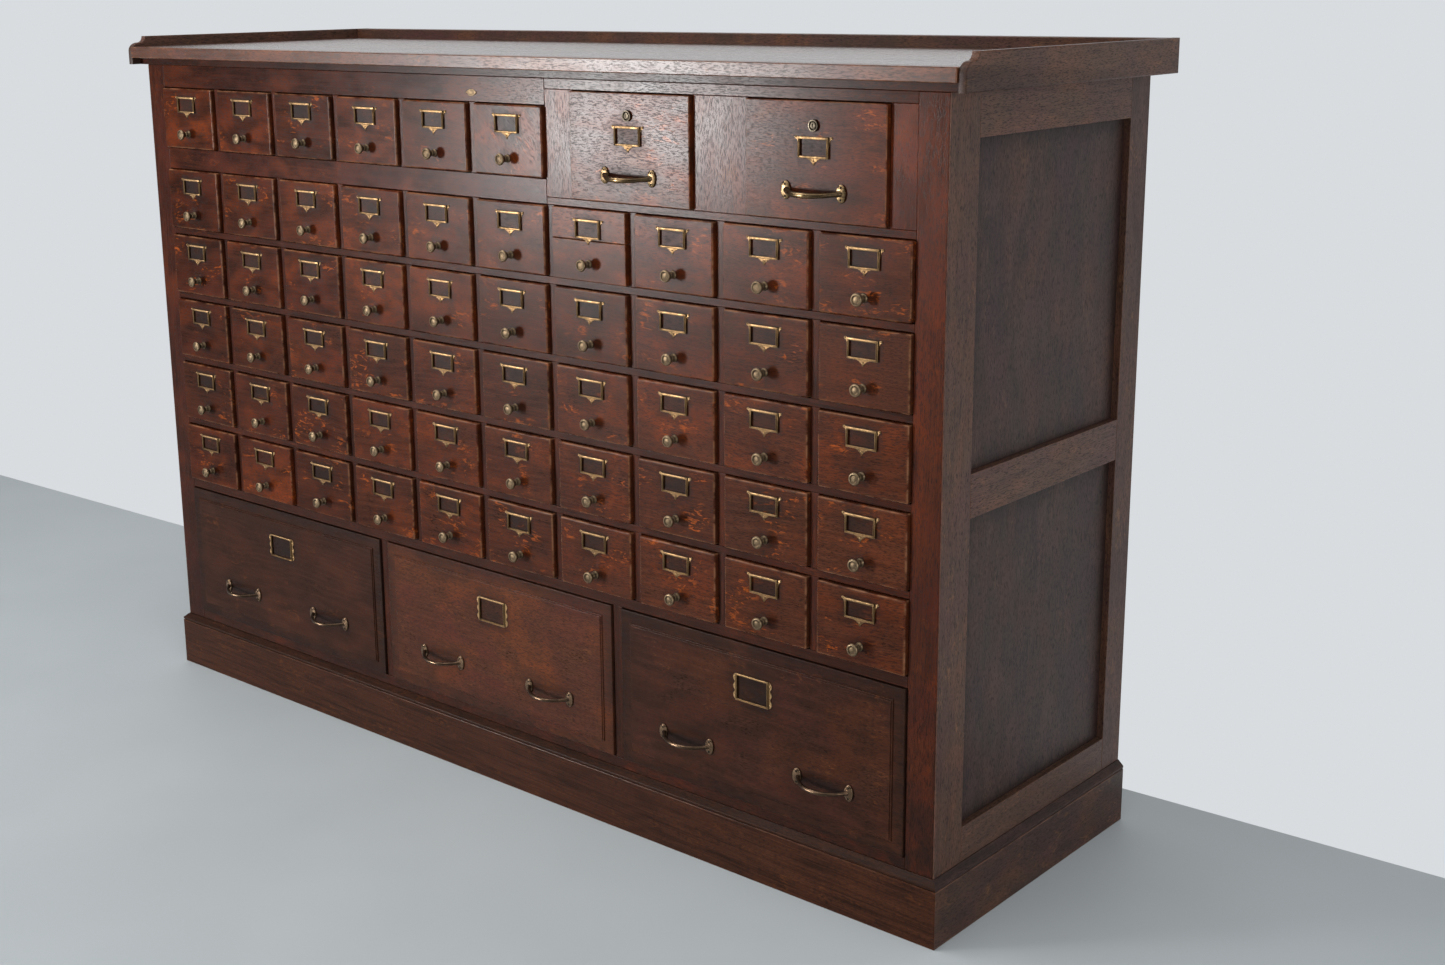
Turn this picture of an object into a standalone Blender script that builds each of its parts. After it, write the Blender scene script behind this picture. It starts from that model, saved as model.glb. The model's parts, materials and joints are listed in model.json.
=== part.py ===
"""Apothecary cabinet: a low, wide chest of small drawers on a plinth.

Metres, +Z up. The front faces -Y and the width runs along X. The origin is on the floor,
under the centre of the whole cabinet's box, hardware included.
Depths below are measured backwards from the front face of the face frame.
"""

import math

import bmesh
import bpy

# Carcass
CARCASS_WIDTH = 1.850
CARCASS_DEPTH = 0.557
CARCASS_TOP = 1.236
BOARD = 0.022
BACK_BOARD = 0.012
JOINT_GAP = 0.0003

# Plinth
PLINTH_HEIGHT = 0.106
PLINTH_PROJECTION = 0.010
PLINTH_BEVEL = 0.012
PLINTH_DECK = 0.016

# Frame-and-panel sides
FRONT_STILE = 0.073
BACK_STILE = 0.058
TOP_RAIL = 0.064
MIDDLE_RAIL = 0.066
MIDDLE_RAIL_CENTRE = 0.669
BOTTOM_RAIL = 0.056
PANEL_RECESS = 0.011

# Top board, its fillet below, and the gallery round three sides
TOP_OVERHANG_FRONT = 0.023
TOP_OVERHANG_SIDE = 0.0215
TOP_BAND = 0.021
FILLET_HEIGHT = 0.013
FILLET_PROJECTION = 0.003
GALLERY_SIDE_BOARD = 0.0125
GALLERY_BACK_RAIL = 0.036
GALLERY_OVERHANG_BACK = 0.022
GALLERY_UPSTAND = 0.0195
GALLERY_NOSE = 0.0195
COVE_RADIUS = 0.012
NOSE_DROP = 0.0155
OGEE_STEPS = 4

# Small drawers: ten columns by five rows, and six more in the row above
COLUMNS = 10
ROWS = 5
COLUMN_PITCH = 0.1764
ROW_PITCH = 0.1283
SMALL_WIDTH = 0.158
SMALL_HEIGHT = 0.1143
LOWEST_ROW_BOTTOM = 0.409
TOP_ROW_COLUMNS = 6
TOP_ROW_BOTTOM = 1.0787

# Two lockable drawers beside the top row, each over two columns
LOCK_WIDTH = 0.246
LOCK_HEIGHT = 0.168
LOCK_BOTTOM = 1.0505
LOCK_NAMES = ("lock_drawer_left", "lock_drawer_right")

# Three file drawers under the rows; the dividers stand a little right of equal thirds
FILE_BOTTOM = 0.1255
FILE_HEIGHT = 0.2635
FILE_DIVIDER_CENTRES = (-0.278, 0.305)
FILE_DIVIDER_WIDTH = 0.022
FILE_NAMES = ("file_drawer_left", "file_drawer_middle", "file_drawer_right")

# What every drawer shares
FRONT_GAP = 0.0012
FRONT_PROUD = 0.0075
FRONT_THICKNESS = 0.022
BOX_SIDE_SETBACK = 0.001
BOX_TOP_SETBACK = 0.012
BOX_BACK = 0.490
BOX_WALL = 0.009
BOX_FLOOR = 0.008
CELL_MARGIN = 0.002
GRID_BACK = 0.497
GRID_OUTER_WALL = 0.012
EMBED = 0.002

# Raised field on a file drawer's front
FIELD_BORDER = 0.020
BORDER_PROUD = 0.004

# The ten drawers of the lowest row, joined by a rail behind their boxes
ROW_RAIL_FRONT = 0.4975
ROW_RAIL_BACK = 0.510
ROW_RAIL_HEIGHT = 0.060

# Turned knob: radius and height above the drawer front, from the stem to the rim
KNOB_SIDES = 10
KNOB_ABOVE_BOTTOM = 0.028
KNOB_STEM = 0.0036
KNOB_RADIUS = 0.0095
KNOB_PROFILE = (
    (KNOB_STEM, -EMBED),
    (KNOB_STEM, 0.012),
    (KNOB_RADIUS, 0.0155),
    (KNOB_RADIUS, 0.0195),
    (0.0075, 0.0212),
)

# Label holder on the small and lockable drawers
LABEL_WIDTH = 0.053
LABEL_HEIGHT = 0.030
LABEL_BELOW_TOP = 0.0155
LABEL_EAR = 0.0065
LABEL_EAR_HEIGHT = 0.007
LABEL_PENDANT = 0.010
LABEL_SIDE_BAR = 0.0035
LABEL_TOP_BAR = 0.005
LABEL_THICKNESS = 0.0024
LABEL_RECESS = 0.0005

# Plain label holder on the file drawers
FILE_LABEL_WIDTH = 0.078
FILE_LABEL_HEIGHT = 0.044
FILE_LABEL_CENTRE = 0.061
FILE_LABEL_BAR = 0.0045

# Handles
HANDLE_SPAN = 0.097
HANDLE_REACH = 0.026
HANDLE_RADIUS = 0.004
HANDLE_SIDES = 6
HANDLE_POINTS = 9
HANDLE_DROOP = 0.003
FOOT_HALF_WIDTH = 0.0065
FOOT_HALF_HEIGHT = 0.011
FOOT_THICKNESS = 0.003
FOOT_SIDES = 8
BOW_ROUNDNESS = 0.8
BRIDGE_ROUNDNESS = 0.4
FILE_HANDLE_OFFSET = 0.1355
FILE_HANDLE_DROP = 0.055
LOCK_HANDLE_DROP = 0.042

# Lock on a lockable drawer
LOCK_RADIUS = 0.0075
LOCK_PROJECTION = 0.003
LOCK_BELOW_TOP = 0.034
LOCK_SIDES = 12

# Edges between faces that turn less than this are drawn smooth
SMOOTH_BELOW = math.radians(50)

FRONT_MOST = FRONT_PROUD + HANDLE_REACH + HANDLE_RADIUS
BACK_MOST = CARCASS_DEPTH + GALLERY_OVERHANG_BACK
FRONT_Y = (FRONT_MOST - BACK_MOST) / 2

MATERIALS = {
    "oak_front": ((0.115, 0.036, 0.018), 0.36, 0.0),
    "oak_side": ((0.075, 0.046, 0.034), 0.42, 0.0),
    "oak_inner": ((0.34, 0.21, 0.11), 0.65, 0.0),
    "oak_top": ((0.13, 0.055, 0.030), 0.30, 0.0),
}


def clear_scene():
    """Remove whatever the scene holds."""
    for thing in list(bpy.data.objects):
        bpy.data.objects.remove(thing, do_unlink=True)


def make_materials():
    """One Principled material for each finish of the cabinet."""
    made = {}
    for name, (colour, roughness, metallic) in MATERIALS.items():
        material = bpy.data.materials.new(name)
        material.use_nodes = True
        shader = material.node_tree.nodes["Principled BSDF"]
        shader.inputs["Base Color"].default_value = (*colour, 1.0)
        shader.inputs["Roughness"].default_value = roughness
        shader.inputs["Metallic"].default_value = metallic
        material.diffuse_color = (*colour, 1.0)
        made[name] = material
    return made


def add_box(bm, low, high):
    """Add a closed box between two corners."""
    corners = []
    for x in (low[0], high[0]):
        for y in (low[1], high[1]):
            for z in (low[2], high[2]):
                corners.append(bm.verts.new((x, y, z)))
    for face in ((0, 1, 3, 2), (4, 6, 7, 5), (0, 4, 5, 1), (2, 3, 7, 6), (0, 2, 6, 4), (1, 5, 7, 3)):
        bm.faces.new([corners[i] for i in face])


def add_prism(bm, outline, vector):
    """Add a closed prism: a flat outline of 3-D points, carried along a vector."""
    near = [bm.verts.new(point) for point in outline]
    far = [bm.verts.new([a + b for a, b in zip(point, vector)]) for point in outline]
    bm.faces.new(near)
    bm.faces.new(list(reversed(far)))
    count = len(near)
    for i in range(count):
        j = (i + 1) % count
        bm.faces.new((near[j], near[i], far[i], far[j]))


def add_rings(bm, rings):
    """Add a closed skin through rings of points, capped at both ends."""
    loops = [[bm.verts.new(point) for point in ring] for ring in rings]
    count = len(loops[0])
    for first, second in zip(loops, loops[1:]):
        for i in range(count):
            j = (i + 1) % count
            bm.faces.new((first[i], first[j], second[j], second[i]))
    bm.faces.new(list(reversed(loops[0])))
    bm.faces.new(loops[-1])


def add_turned(bm, centre, profile, sides):
    """Add a round piece that stands out of the front, turned about a line along -Y."""
    rings = []
    for radius, height in profile:
        ring = []
        for i in range(sides):
            angle = 2 * math.pi * (i + 0.5) / sides
            x = centre[0] + radius * math.cos(angle)
            z = centre[2] + radius * math.sin(angle)
            ring.append((x, centre[1] - height, z))
        rings.append(ring)
    add_rings(bm, rings)


def new_object(name, bm):
    """Turn a bmesh into a linked object with outward faces."""
    bmesh.ops.recalc_face_normals(bm, faces=bm.faces)
    mesh = bpy.data.meshes.new(name)
    bm.to_mesh(mesh)
    bm.free()
    made = bpy.data.objects.new(name, mesh)
    bpy.context.scene.collection.objects.link(made)
    return made


def boxes_object(name, boxes):
    """An object that holds one closed box for each pair of corners."""
    bm = bmesh.new()
    for low, high in boxes:
        add_box(bm, low, high)
    return new_object(name, bm)


def apply_boolean(target, operation, tool):
    """Replace the target's mesh by its union with, or difference from, the tool."""
    modifier = target.modifiers.new(operation.lower(), "BOOLEAN")
    modifier.operation = operation
    modifier.solver = "EXACT"
    modifier.object = tool
    bpy.context.view_layer.update()
    depsgraph = bpy.context.evaluated_depsgraph_get()
    mesh = bpy.data.meshes.new_from_object(target.evaluated_get(depsgraph))
    target.modifiers.clear()
    target.data = mesh
    bpy.data.objects.remove(tool, do_unlink=True)


def half(value):
    return value / 2


def small_centre_x(column):
    """Centre of a column, counted from 0 at the left."""
    return (column - half(COLUMNS - 1)) * COLUMN_PITCH


def small_drawers():
    """(name, centre x, centre z) of every small drawer that slides on its own."""
    places = []
    for column in range(TOP_ROW_COLUMNS):
        place_z = TOP_ROW_BOTTOM + half(SMALL_HEIGHT)
        places.append((f"drawer_top_c{column + 1:02d}", small_centre_x(column), place_z))
    for row in range(1, ROWS):
        for column in range(COLUMNS):
            name = f"drawer_r{row}_c{column + 1:02d}"
            places.append((name, small_centre_x(column), row_centre_z(row)))
    return places


def row_centre_z(row):
    """Centre height of a row, counted from 1 at the top."""
    return LOWEST_ROW_BOTTOM + (ROWS - row) * ROW_PITCH + half(SMALL_HEIGHT)


def lock_drawers():
    """(name, centre x, centre z) of the lockable drawers, each over a pair of columns."""
    places = []
    for i, name in enumerate(LOCK_NAMES):
        first = TOP_ROW_COLUMNS + 2 * i
        centre = half(small_centre_x(first) + small_centre_x(first + 1))
        places.append((name, centre, LOCK_BOTTOM + half(LOCK_HEIGHT)))
    return places


def file_drawers():
    """(name, centre x, centre z, width) of the file drawers."""
    outer = small_centre_x(COLUMNS - 1) + half(SMALL_WIDTH)
    edges = [-outer]
    for centre in FILE_DIVIDER_CENTRES:
        edges += [centre - half(FILE_DIVIDER_WIDTH), centre + half(FILE_DIVIDER_WIDTH)]
    edges.append(outer)
    places = []
    for i, name in enumerate(FILE_NAMES):
        left, right = edges[2 * i], edges[2 * i + 1]
        places.append((name, half(left + right), FILE_BOTTOM + half(FILE_HEIGHT), right - left))
    return places


def all_fronts():
    """(centre x, centre z, width, height) of every drawer front."""
    fronts = [(x, z, SMALL_WIDTH, SMALL_HEIGHT) for _, x, z in small_drawers()]
    lowest = row_centre_z(ROWS)
    fronts += [(small_centre_x(c), lowest, SMALL_WIDTH, SMALL_HEIGHT) for c in range(COLUMNS)]
    fronts += [(x, z, LOCK_WIDTH, LOCK_HEIGHT) for _, x, z in lock_drawers()]
    fronts += [(x, z, width, FILE_HEIGHT) for _, x, z, width in file_drawers()]
    return fronts


def front_holes(margin, near, far):
    """Boxes that open a cell round every drawer front, between two depths."""
    holes = []
    for x, z, width, height in all_fronts():
        dx = half(width) + FRONT_GAP + margin
        dz = half(height) + FRONT_GAP + margin
        holes.append(((x - dx, near, z - dz), (x + dx, far, z + dz)))
    return holes


def pierced_slab(name, low, high, margin):
    """A slab with a cell for every drawer cut right through it."""
    slab = boxes_object(name, [(low, high)])
    cutter = boxes_object(name + "_cells", front_holes(margin, low[1] - EMBED, high[1] + EMBED))
    apply_boolean(slab, "DIFFERENCE", cutter)
    return slab


def make_plinth():
    """Bevelled plinth with the deck that the carcass stands on, open underneath."""
    x = half(CARCASS_WIDTH)
    p = PLINTH_PROJECTION
    shoulder = PLINTH_HEIGHT - PLINTH_BEVEL
    bm = bmesh.new()
    rings = []
    for z, out in ((0.0, p), (shoulder, p), (PLINTH_HEIGHT, 0.0)):
        ring = [(-x - out, -out), (x + out, -out), (x + out, CARCASS_DEPTH), (-x - out, CARCASS_DEPTH)]
        rings.append([(px, py, z) for px, py in ring])
    add_rings(bm, rings)
    plinth = new_object("plinth", bm)
    inside_low = (-x - p + BOARD, -p + BOARD, -EMBED)
    inside_high = (x + p - BOARD, CARCASS_DEPTH - BOARD, PLINTH_HEIGHT - PLINTH_DECK)
    apply_boolean(plinth, "DIFFERENCE", boxes_object("plinth_inside", [(inside_low, inside_high)]))
    return plinth


def make_side(name, hand):
    """Frame-and-panel side, behind the face frame; hand is -1 on the left, +1 on the right."""
    base = PLINTH_HEIGHT + JOINT_GAP
    outer = hand * half(CARCASS_WIDTH)
    inner = outer - hand * BOARD
    floor = outer - hand * PANEL_RECESS
    beyond = outer + hand * EMBED
    side = boxes_object(
        name,
        [((min(inner, outer), BOARD + JOINT_GAP, base), (max(inner, outer), CARCASS_DEPTH, CARCASS_TOP))],
    )
    recesses = []
    middle_low = MIDDLE_RAIL_CENTRE - half(MIDDLE_RAIL)
    middle_high = MIDDLE_RAIL_CENTRE + half(MIDDLE_RAIL)
    for z0, z1 in ((PLINTH_HEIGHT + BOTTOM_RAIL, middle_low), (middle_high, CARCASS_TOP - TOP_RAIL)):
        low = (min(floor, beyond), FRONT_STILE, z0)
        high = (max(floor, beyond), CARCASS_DEPTH - BACK_STILE, z1)
        recesses.append((low, high))
    apply_boolean(side, "DIFFERENCE", boxes_object(name + "_panels", recesses))
    return side


def make_face_frame():
    """Stiles, rails and muntins of the front, with an opening for every drawer."""
    x = half(CARCASS_WIDTH)
    base = PLINTH_HEIGHT + JOINT_GAP
    return pierced_slab("face_frame", (-x, 0.0, base), (x, BOARD, CARCASS_TOP), 0.0)


def make_divider_grid():
    """Partitions and shelves behind the face frame: the cells that the drawers run in."""
    x = small_centre_x(COLUMNS - 1) + half(SMALL_WIDTH) + FRONT_GAP + CELL_MARGIN + GRID_OUTER_WALL
    low = (-x, BOARD + JOINT_GAP, PLINTH_HEIGHT + JOINT_GAP)
    high = (x, GRID_BACK, CARCASS_TOP - JOINT_GAP)
    return pierced_slab("divider_grid", low, high, CELL_MARGIN)


def make_back_panel():
    """Thin back between the two sides."""
    x = half(CARCASS_WIDTH) - BOARD - JOINT_GAP
    low = (-x, CARCASS_DEPTH - BACK_BOARD, PLINTH_HEIGHT + JOINT_GAP)
    return boxes_object("back_panel", [(low, (x, CARCASS_DEPTH, CARCASS_TOP - JOINT_GAP))])


def top_levels():
    """Heights of the fillet's underside, the band's underside and the top surface."""
    fillet = CARCASS_TOP + JOINT_GAP
    band = CARCASS_TOP + FILLET_HEIGHT
    return fillet, band, band + TOP_BAND


def gallery_back_front():
    """Depth of the back rail's front face."""
    return BACK_MOST - GALLERY_BACK_RAIL


def make_top_board():
    """Top board with the narrow fillet under its front edge, as one stepped slab."""
    x = half(CARCASS_WIDTH) + TOP_OVERHANG_SIDE
    back = gallery_back_front() - JOINT_GAP
    fillet, band, surface = top_levels()
    outline = [
        (-TOP_OVERHANG_FRONT, band),
        (-TOP_OVERHANG_FRONT, surface),
        (back, surface),
        (back, fillet),
        (-FILLET_PROJECTION, fillet),
        (-FILLET_PROJECTION, band),
    ]
    bm = bmesh.new()
    add_prism(bm, [(-x, y, z) for y, z in outline], (2 * x, 0, 0))
    return new_object("top_board", bm)


def ogee_outline(bottom, top):
    """Side view of a gallery board: a nose, then a cove up to the top edge."""
    nose_height = top - COVE_RADIUS - NOSE_DROP
    quarter = [half(math.pi) * i / OGEE_STEPS for i in range(OGEE_STEPS + 1)]
    points = [(-GALLERY_NOSE, bottom)]
    for angle in quarter:
        points.append((-GALLERY_NOSE * math.cos(angle), nose_height + NOSE_DROP * math.sin(angle)))
    for angle in quarter[1:]:
        points.append((COVE_RADIUS * math.sin(angle), top - COVE_RADIUS * math.cos(angle)))
    points += [(BACK_MOST, top), (BACK_MOST, bottom)]
    return points


def make_gallery():
    """Low boards that cover the ends of the top, and the rail along its back."""
    inner = half(CARCASS_WIDTH) + TOP_OVERHANG_SIDE + JOINT_GAP
    bottom, _, surface = top_levels()
    top = surface + GALLERY_UPSTAND
    outline = ogee_outline(bottom, top)
    bm = bmesh.new()
    for start in (-inner - GALLERY_SIDE_BOARD, inner):
        add_prism(bm, [(start, y, z) for y, z in outline], (GALLERY_SIDE_BOARD, 0, 0))
    gallery = new_object("gallery", bm)
    reach = inner + half(GALLERY_SIDE_BOARD)
    rail = boxes_object("gallery_rail", [((-reach, gallery_back_front(), bottom), (reach, BACK_MOST, top))])
    apply_boolean(gallery, "UNION", rail)
    return gallery


def ellipse_ring(centre, half_x, half_z, depth, sides):
    """Points of an upright ellipse at one depth."""
    ring = []
    for i in range(sides):
        angle = 2 * math.pi * (i + 0.5) / sides
        ring.append((centre[0] + half_x * math.cos(angle), depth, centre[1] + half_z * math.sin(angle)))
    return ring


def add_foot(bm, centre, face):
    """Oval plate under one end of a handle."""
    rings = []
    for depth in (face + EMBED, face - FOOT_THICKNESS):
        rings.append(ellipse_ring(centre, FOOT_HALF_WIDTH, FOOT_HALF_HEIGHT, depth, FOOT_SIDES))
    add_rings(bm, rings)


def handle_path(centre, face, roundness):
    """Centre line of a handle, from one foot to the other."""
    path = []
    for i in range(HANDLE_POINTS):
        angle = math.pi * i / (HANDLE_POINTS - 1)
        rise = max(0.0, math.sin(angle)) ** roundness
        x = centre[0] - half(HANDLE_SPAN) * math.cos(angle)
        path.append((x, face - HANDLE_REACH * rise, centre[1] - HANDLE_DROOP * math.sin(angle)))
    return path


def add_grip(bm, path):
    """A bar along a path that stands out of the front and comes back."""
    rings = []
    last = len(path) - 1
    for i, point in enumerate(path):
        before = path[max(i - 1, 0)]
        after = path[min(i + 1, last)]
        along = (after[0] - before[0], after[1] - before[1])
        length = math.hypot(*along)
        if i == 0:
            across = (1.0, 0.0)
        elif i == last:
            across = (-1.0, 0.0)
        else:
            across = (-along[1] / length, along[0] / length)
        ring = []
        for k in range(HANDLE_SIDES):
            angle = 2 * math.pi * k / HANDLE_SIDES
            u = HANDLE_RADIUS * math.cos(angle)
            v = HANDLE_RADIUS * math.sin(angle)
            ring.append((point[0] + u * across[0], point[1] + u * across[1], point[2] + v))
        rings.append(ring)
    add_rings(bm, rings)


def handle_object(centres, face, roundness):
    """The grips of one drawer's handles."""
    bm = bmesh.new()
    for centre in centres:
        path = handle_path(centre, face, roundness)
        start, end = path[0], path[-1]
        path[0] = (start[0], face - half(FOOT_THICKNESS), start[2])
        path[-1] = (end[0], face - half(FOOT_THICKNESS), end[2])
        add_grip(bm, path)
    return new_object("grips", bm)


def feet_object(centres, face):
    """The oval plates of one drawer's handles."""
    bm = bmesh.new()
    for x, z in centres:
        for end in (-half(HANDLE_SPAN), half(HANDLE_SPAN)):
            add_foot(bm, (x + end, z), face)
    return new_object("feet", bm)


def shield_outline(top):
    """Label holder's outline: screw ears at the top corners and a pointed pendant."""
    w = half(LABEL_WIDTH)
    bottom = top - LABEL_HEIGHT
    return [
        (-w - LABEL_EAR, top),
        (w + LABEL_EAR, top),
        (w, top - LABEL_EAR_HEIGHT),
        (w, bottom),
        (LABEL_PENDANT, bottom),
        (0.0, bottom - LABEL_PENDANT),
        (-LABEL_PENDANT, bottom),
        (-w, bottom),
        (-w, top - LABEL_EAR_HEIGHT),
    ]


def add_shield_label(front, top):
    """Join a label holder with an open window to a drawer front."""
    face = -FRONT_PROUD
    bm = bmesh.new()
    outline = [(x, face + EMBED, z) for x, z in shield_outline(top)]
    add_prism(bm, outline, (0, -EMBED - LABEL_THICKNESS, 0))
    apply_boolean(front, "UNION", new_object("label", bm))
    w = half(LABEL_WIDTH) - LABEL_SIDE_BAR
    low = (-w, face - LABEL_THICKNESS - EMBED, top - LABEL_HEIGHT + LABEL_SIDE_BAR)
    high = (w, face + LABEL_RECESS, top - LABEL_TOP_BAR)
    apply_boolean(front, "DIFFERENCE", boxes_object("window", [(low, high)]))


def add_file_label(front):
    """Join the plain label holder to a file drawer's field."""
    face = -FRONT_PROUD
    w, h = half(FILE_LABEL_WIDTH), half(FILE_LABEL_HEIGHT)
    z = FILE_LABEL_CENTRE
    outer = ((-w, face - LABEL_THICKNESS, z - h), (w, face + EMBED, z + h))
    apply_boolean(front, "UNION", boxes_object("label", [outer]))
    w -= FILE_LABEL_BAR
    h -= FILE_LABEL_BAR
    window = ((-w, face - LABEL_THICKNESS - EMBED, z - h), (w, face + LABEL_RECESS, z + h))
    apply_boolean(front, "DIFFERENCE", boxes_object("window", [window]))


def add_drawer_box(front, width, height, back):
    """Join an open-topped box to the back of a drawer front."""
    x = half(width) - BOX_SIDE_SETBACK
    start = FRONT_THICKNESS - FRONT_PROUD
    bottom = -half(height) + BOX_SIDE_SETBACK
    top = half(height) - BOX_TOP_SETBACK
    shell = ((-x, start - EMBED, bottom), (x, back, top))
    apply_boolean(front, "UNION", boxes_object("box", [shell]))
    hollow = ((-x + BOX_WALL, start, bottom + BOX_FLOOR), (x - BOX_WALL, back - BOX_WALL, top + EMBED))
    apply_boolean(front, "DIFFERENCE", boxes_object("hollow", [hollow]))


def plain_front(name, width, height):
    """Flat drawer front, standing a little proud of the face frame."""
    w, h = half(width), half(height)
    return boxes_object(name, [((-w, -FRONT_PROUD, -h), (w, FRONT_THICKNESS - FRONT_PROUD, h))])


def small_drawer_object(name, back):
    """Small drawer with a label holder and a turned knob, about its front's centre."""
    drawer = plain_front(name, SMALL_WIDTH, SMALL_HEIGHT)
    add_drawer_box(drawer, SMALL_WIDTH, SMALL_HEIGHT, back)
    add_shield_label(drawer, half(SMALL_HEIGHT) - LABEL_BELOW_TOP)
    bm = bmesh.new()
    knob_z = -half(SMALL_HEIGHT) + KNOB_ABOVE_BOTTOM
    add_turned(bm, (0.0, -FRONT_PROUD, knob_z), KNOB_PROFILE, KNOB_SIDES)
    apply_boolean(drawer, "UNION", new_object("knob", bm))
    return drawer


def lock_drawer_object(name):
    """Lockable drawer: round lock, label holder and bridge handle."""
    drawer = plain_front(name, LOCK_WIDTH, LOCK_HEIGHT)
    add_drawer_box(drawer, LOCK_WIDTH, LOCK_HEIGHT, BOX_BACK)
    lock_z = half(LOCK_HEIGHT) - LOCK_BELOW_TOP
    add_shield_label(drawer, lock_z - LABEL_BELOW_TOP)
    bm = bmesh.new()
    profile = ((LOCK_RADIUS, -EMBED), (LOCK_RADIUS, LOCK_PROJECTION))
    add_turned(bm, (0.0, -FRONT_PROUD, lock_z), profile, LOCK_SIDES)
    apply_boolean(drawer, "UNION", new_object("lock", bm))
    centres = [(0.0, -LOCK_HANDLE_DROP)]
    apply_boolean(drawer, "UNION", feet_object(centres, -FRONT_PROUD))
    apply_boolean(drawer, "UNION", handle_object(centres, -FRONT_PROUD, BRIDGE_ROUNDNESS))
    return drawer


def file_drawer_object(name, width):
    """File drawer: a raised field, a plain label holder and two bow handles."""
    w, h = half(width), half(FILE_HEIGHT)
    back = FRONT_THICKNESS - FRONT_PROUD
    drawer = boxes_object(name, [((-w, -BORDER_PROUD, -h), (w, back, h))])
    add_drawer_box(drawer, width, FILE_HEIGHT, BOX_BACK)
    field_w, field_h = w - FIELD_BORDER, h - FIELD_BORDER
    field = ((-field_w, -FRONT_PROUD, -field_h), (field_w, 0.0, field_h))
    apply_boolean(drawer, "UNION", boxes_object("field", [field]))
    add_file_label(drawer)
    centres = [(side * FILE_HANDLE_OFFSET, -FILE_HANDLE_DROP) for side in (-1, 1)]
    apply_boolean(drawer, "UNION", feet_object(centres, -FRONT_PROUD))
    apply_boolean(drawer, "UNION", handle_object(centres, -FRONT_PROUD, BOW_ROUNDNESS))
    return drawer


def make_joined_row():
    """The lowest row of small drawers, as one piece with a rail behind the boxes."""
    pattern = small_drawer_object("row_pattern", ROW_RAIL_FRONT + EMBED)
    bm = bmesh.new()
    z = row_centre_z(ROWS)
    for column in range(COLUMNS):
        start = len(bm.verts)
        bm.from_mesh(pattern.data)
        bm.verts.ensure_lookup_table()
        bmesh.ops.translate(bm, vec=(small_centre_x(column), 0.0, z), verts=bm.verts[start:])
    bpy.data.objects.remove(pattern, do_unlink=True)
    row = new_object("drawer_row_5_joined", bm)
    x = small_centre_x(COLUMNS - 1) + half(SMALL_WIDTH) - BOX_WALL
    low = (-x, ROW_RAIL_FRONT, z - half(ROW_RAIL_HEIGHT))
    high = (x, ROW_RAIL_BACK, z + half(ROW_RAIL_HEIGHT) - BOX_WALL)
    apply_boolean(row, "UNION", boxes_object("row_rail", [(low, high)]))
    return row


def finish(thing, material, place):
    """Place a piece, give it its finish and shade its round faces smooth."""
    thing.location = place
    thing.data.materials.clear()
    thing.data.materials.append(material)
    thing.data.shade_smooth()
    thing.data.set_sharp_from_angle(angle=SMOOTH_BELOW)


def place_small_drawers(material):
    """One object for each small drawer that slides, all sharing one mesh."""
    pattern = small_drawer_object("small_drawer_pattern", BOX_BACK)
    for name, x, z in small_drawers():
        drawer = bpy.data.objects.new(name, pattern.data)
        bpy.context.scene.collection.objects.link(drawer)
        finish(drawer, material, (x, FRONT_Y, z))
    bpy.data.objects.remove(pattern, do_unlink=True)


def main():
    clear_scene()
    finishes = make_materials()
    centre = (0.0, FRONT_Y, 0.0)
    finish(make_plinth(), finishes["oak_front"], centre)
    finish(make_side("side_left", -1), finishes["oak_side"], centre)
    finish(make_side("side_right", 1), finishes["oak_side"], centre)
    finish(make_face_frame(), finishes["oak_front"], centre)
    finish(make_divider_grid(), finishes["oak_inner"], centre)
    finish(make_back_panel(), finishes["oak_inner"], centre)
    finish(make_top_board(), finishes["oak_top"], centre)
    finish(make_gallery(), finishes["oak_side"], centre)
    finish(make_joined_row(), finishes["oak_front"], centre)
    place_small_drawers(finishes["oak_front"])
    for name, x, z in lock_drawers():
        finish(lock_drawer_object(name), finishes["oak_front"], (x, FRONT_Y, z))
    for name, x, z, width in file_drawers():
        finish(file_drawer_object(name, width), finishes["oak_front"], (x, FRONT_Y, z))


main()
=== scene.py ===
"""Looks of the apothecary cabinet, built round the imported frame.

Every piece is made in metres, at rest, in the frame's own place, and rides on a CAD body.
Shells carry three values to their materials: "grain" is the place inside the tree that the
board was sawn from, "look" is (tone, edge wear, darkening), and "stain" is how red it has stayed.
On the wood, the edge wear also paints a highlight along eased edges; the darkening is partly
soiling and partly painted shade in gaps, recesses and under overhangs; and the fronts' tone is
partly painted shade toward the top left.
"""

import json
import random
from itertools import product
from math import copysign, cos, exp, hypot, pi, radians, sin

import bmesh
import bpy
from mathutils import Matrix, Vector, noise

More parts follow.
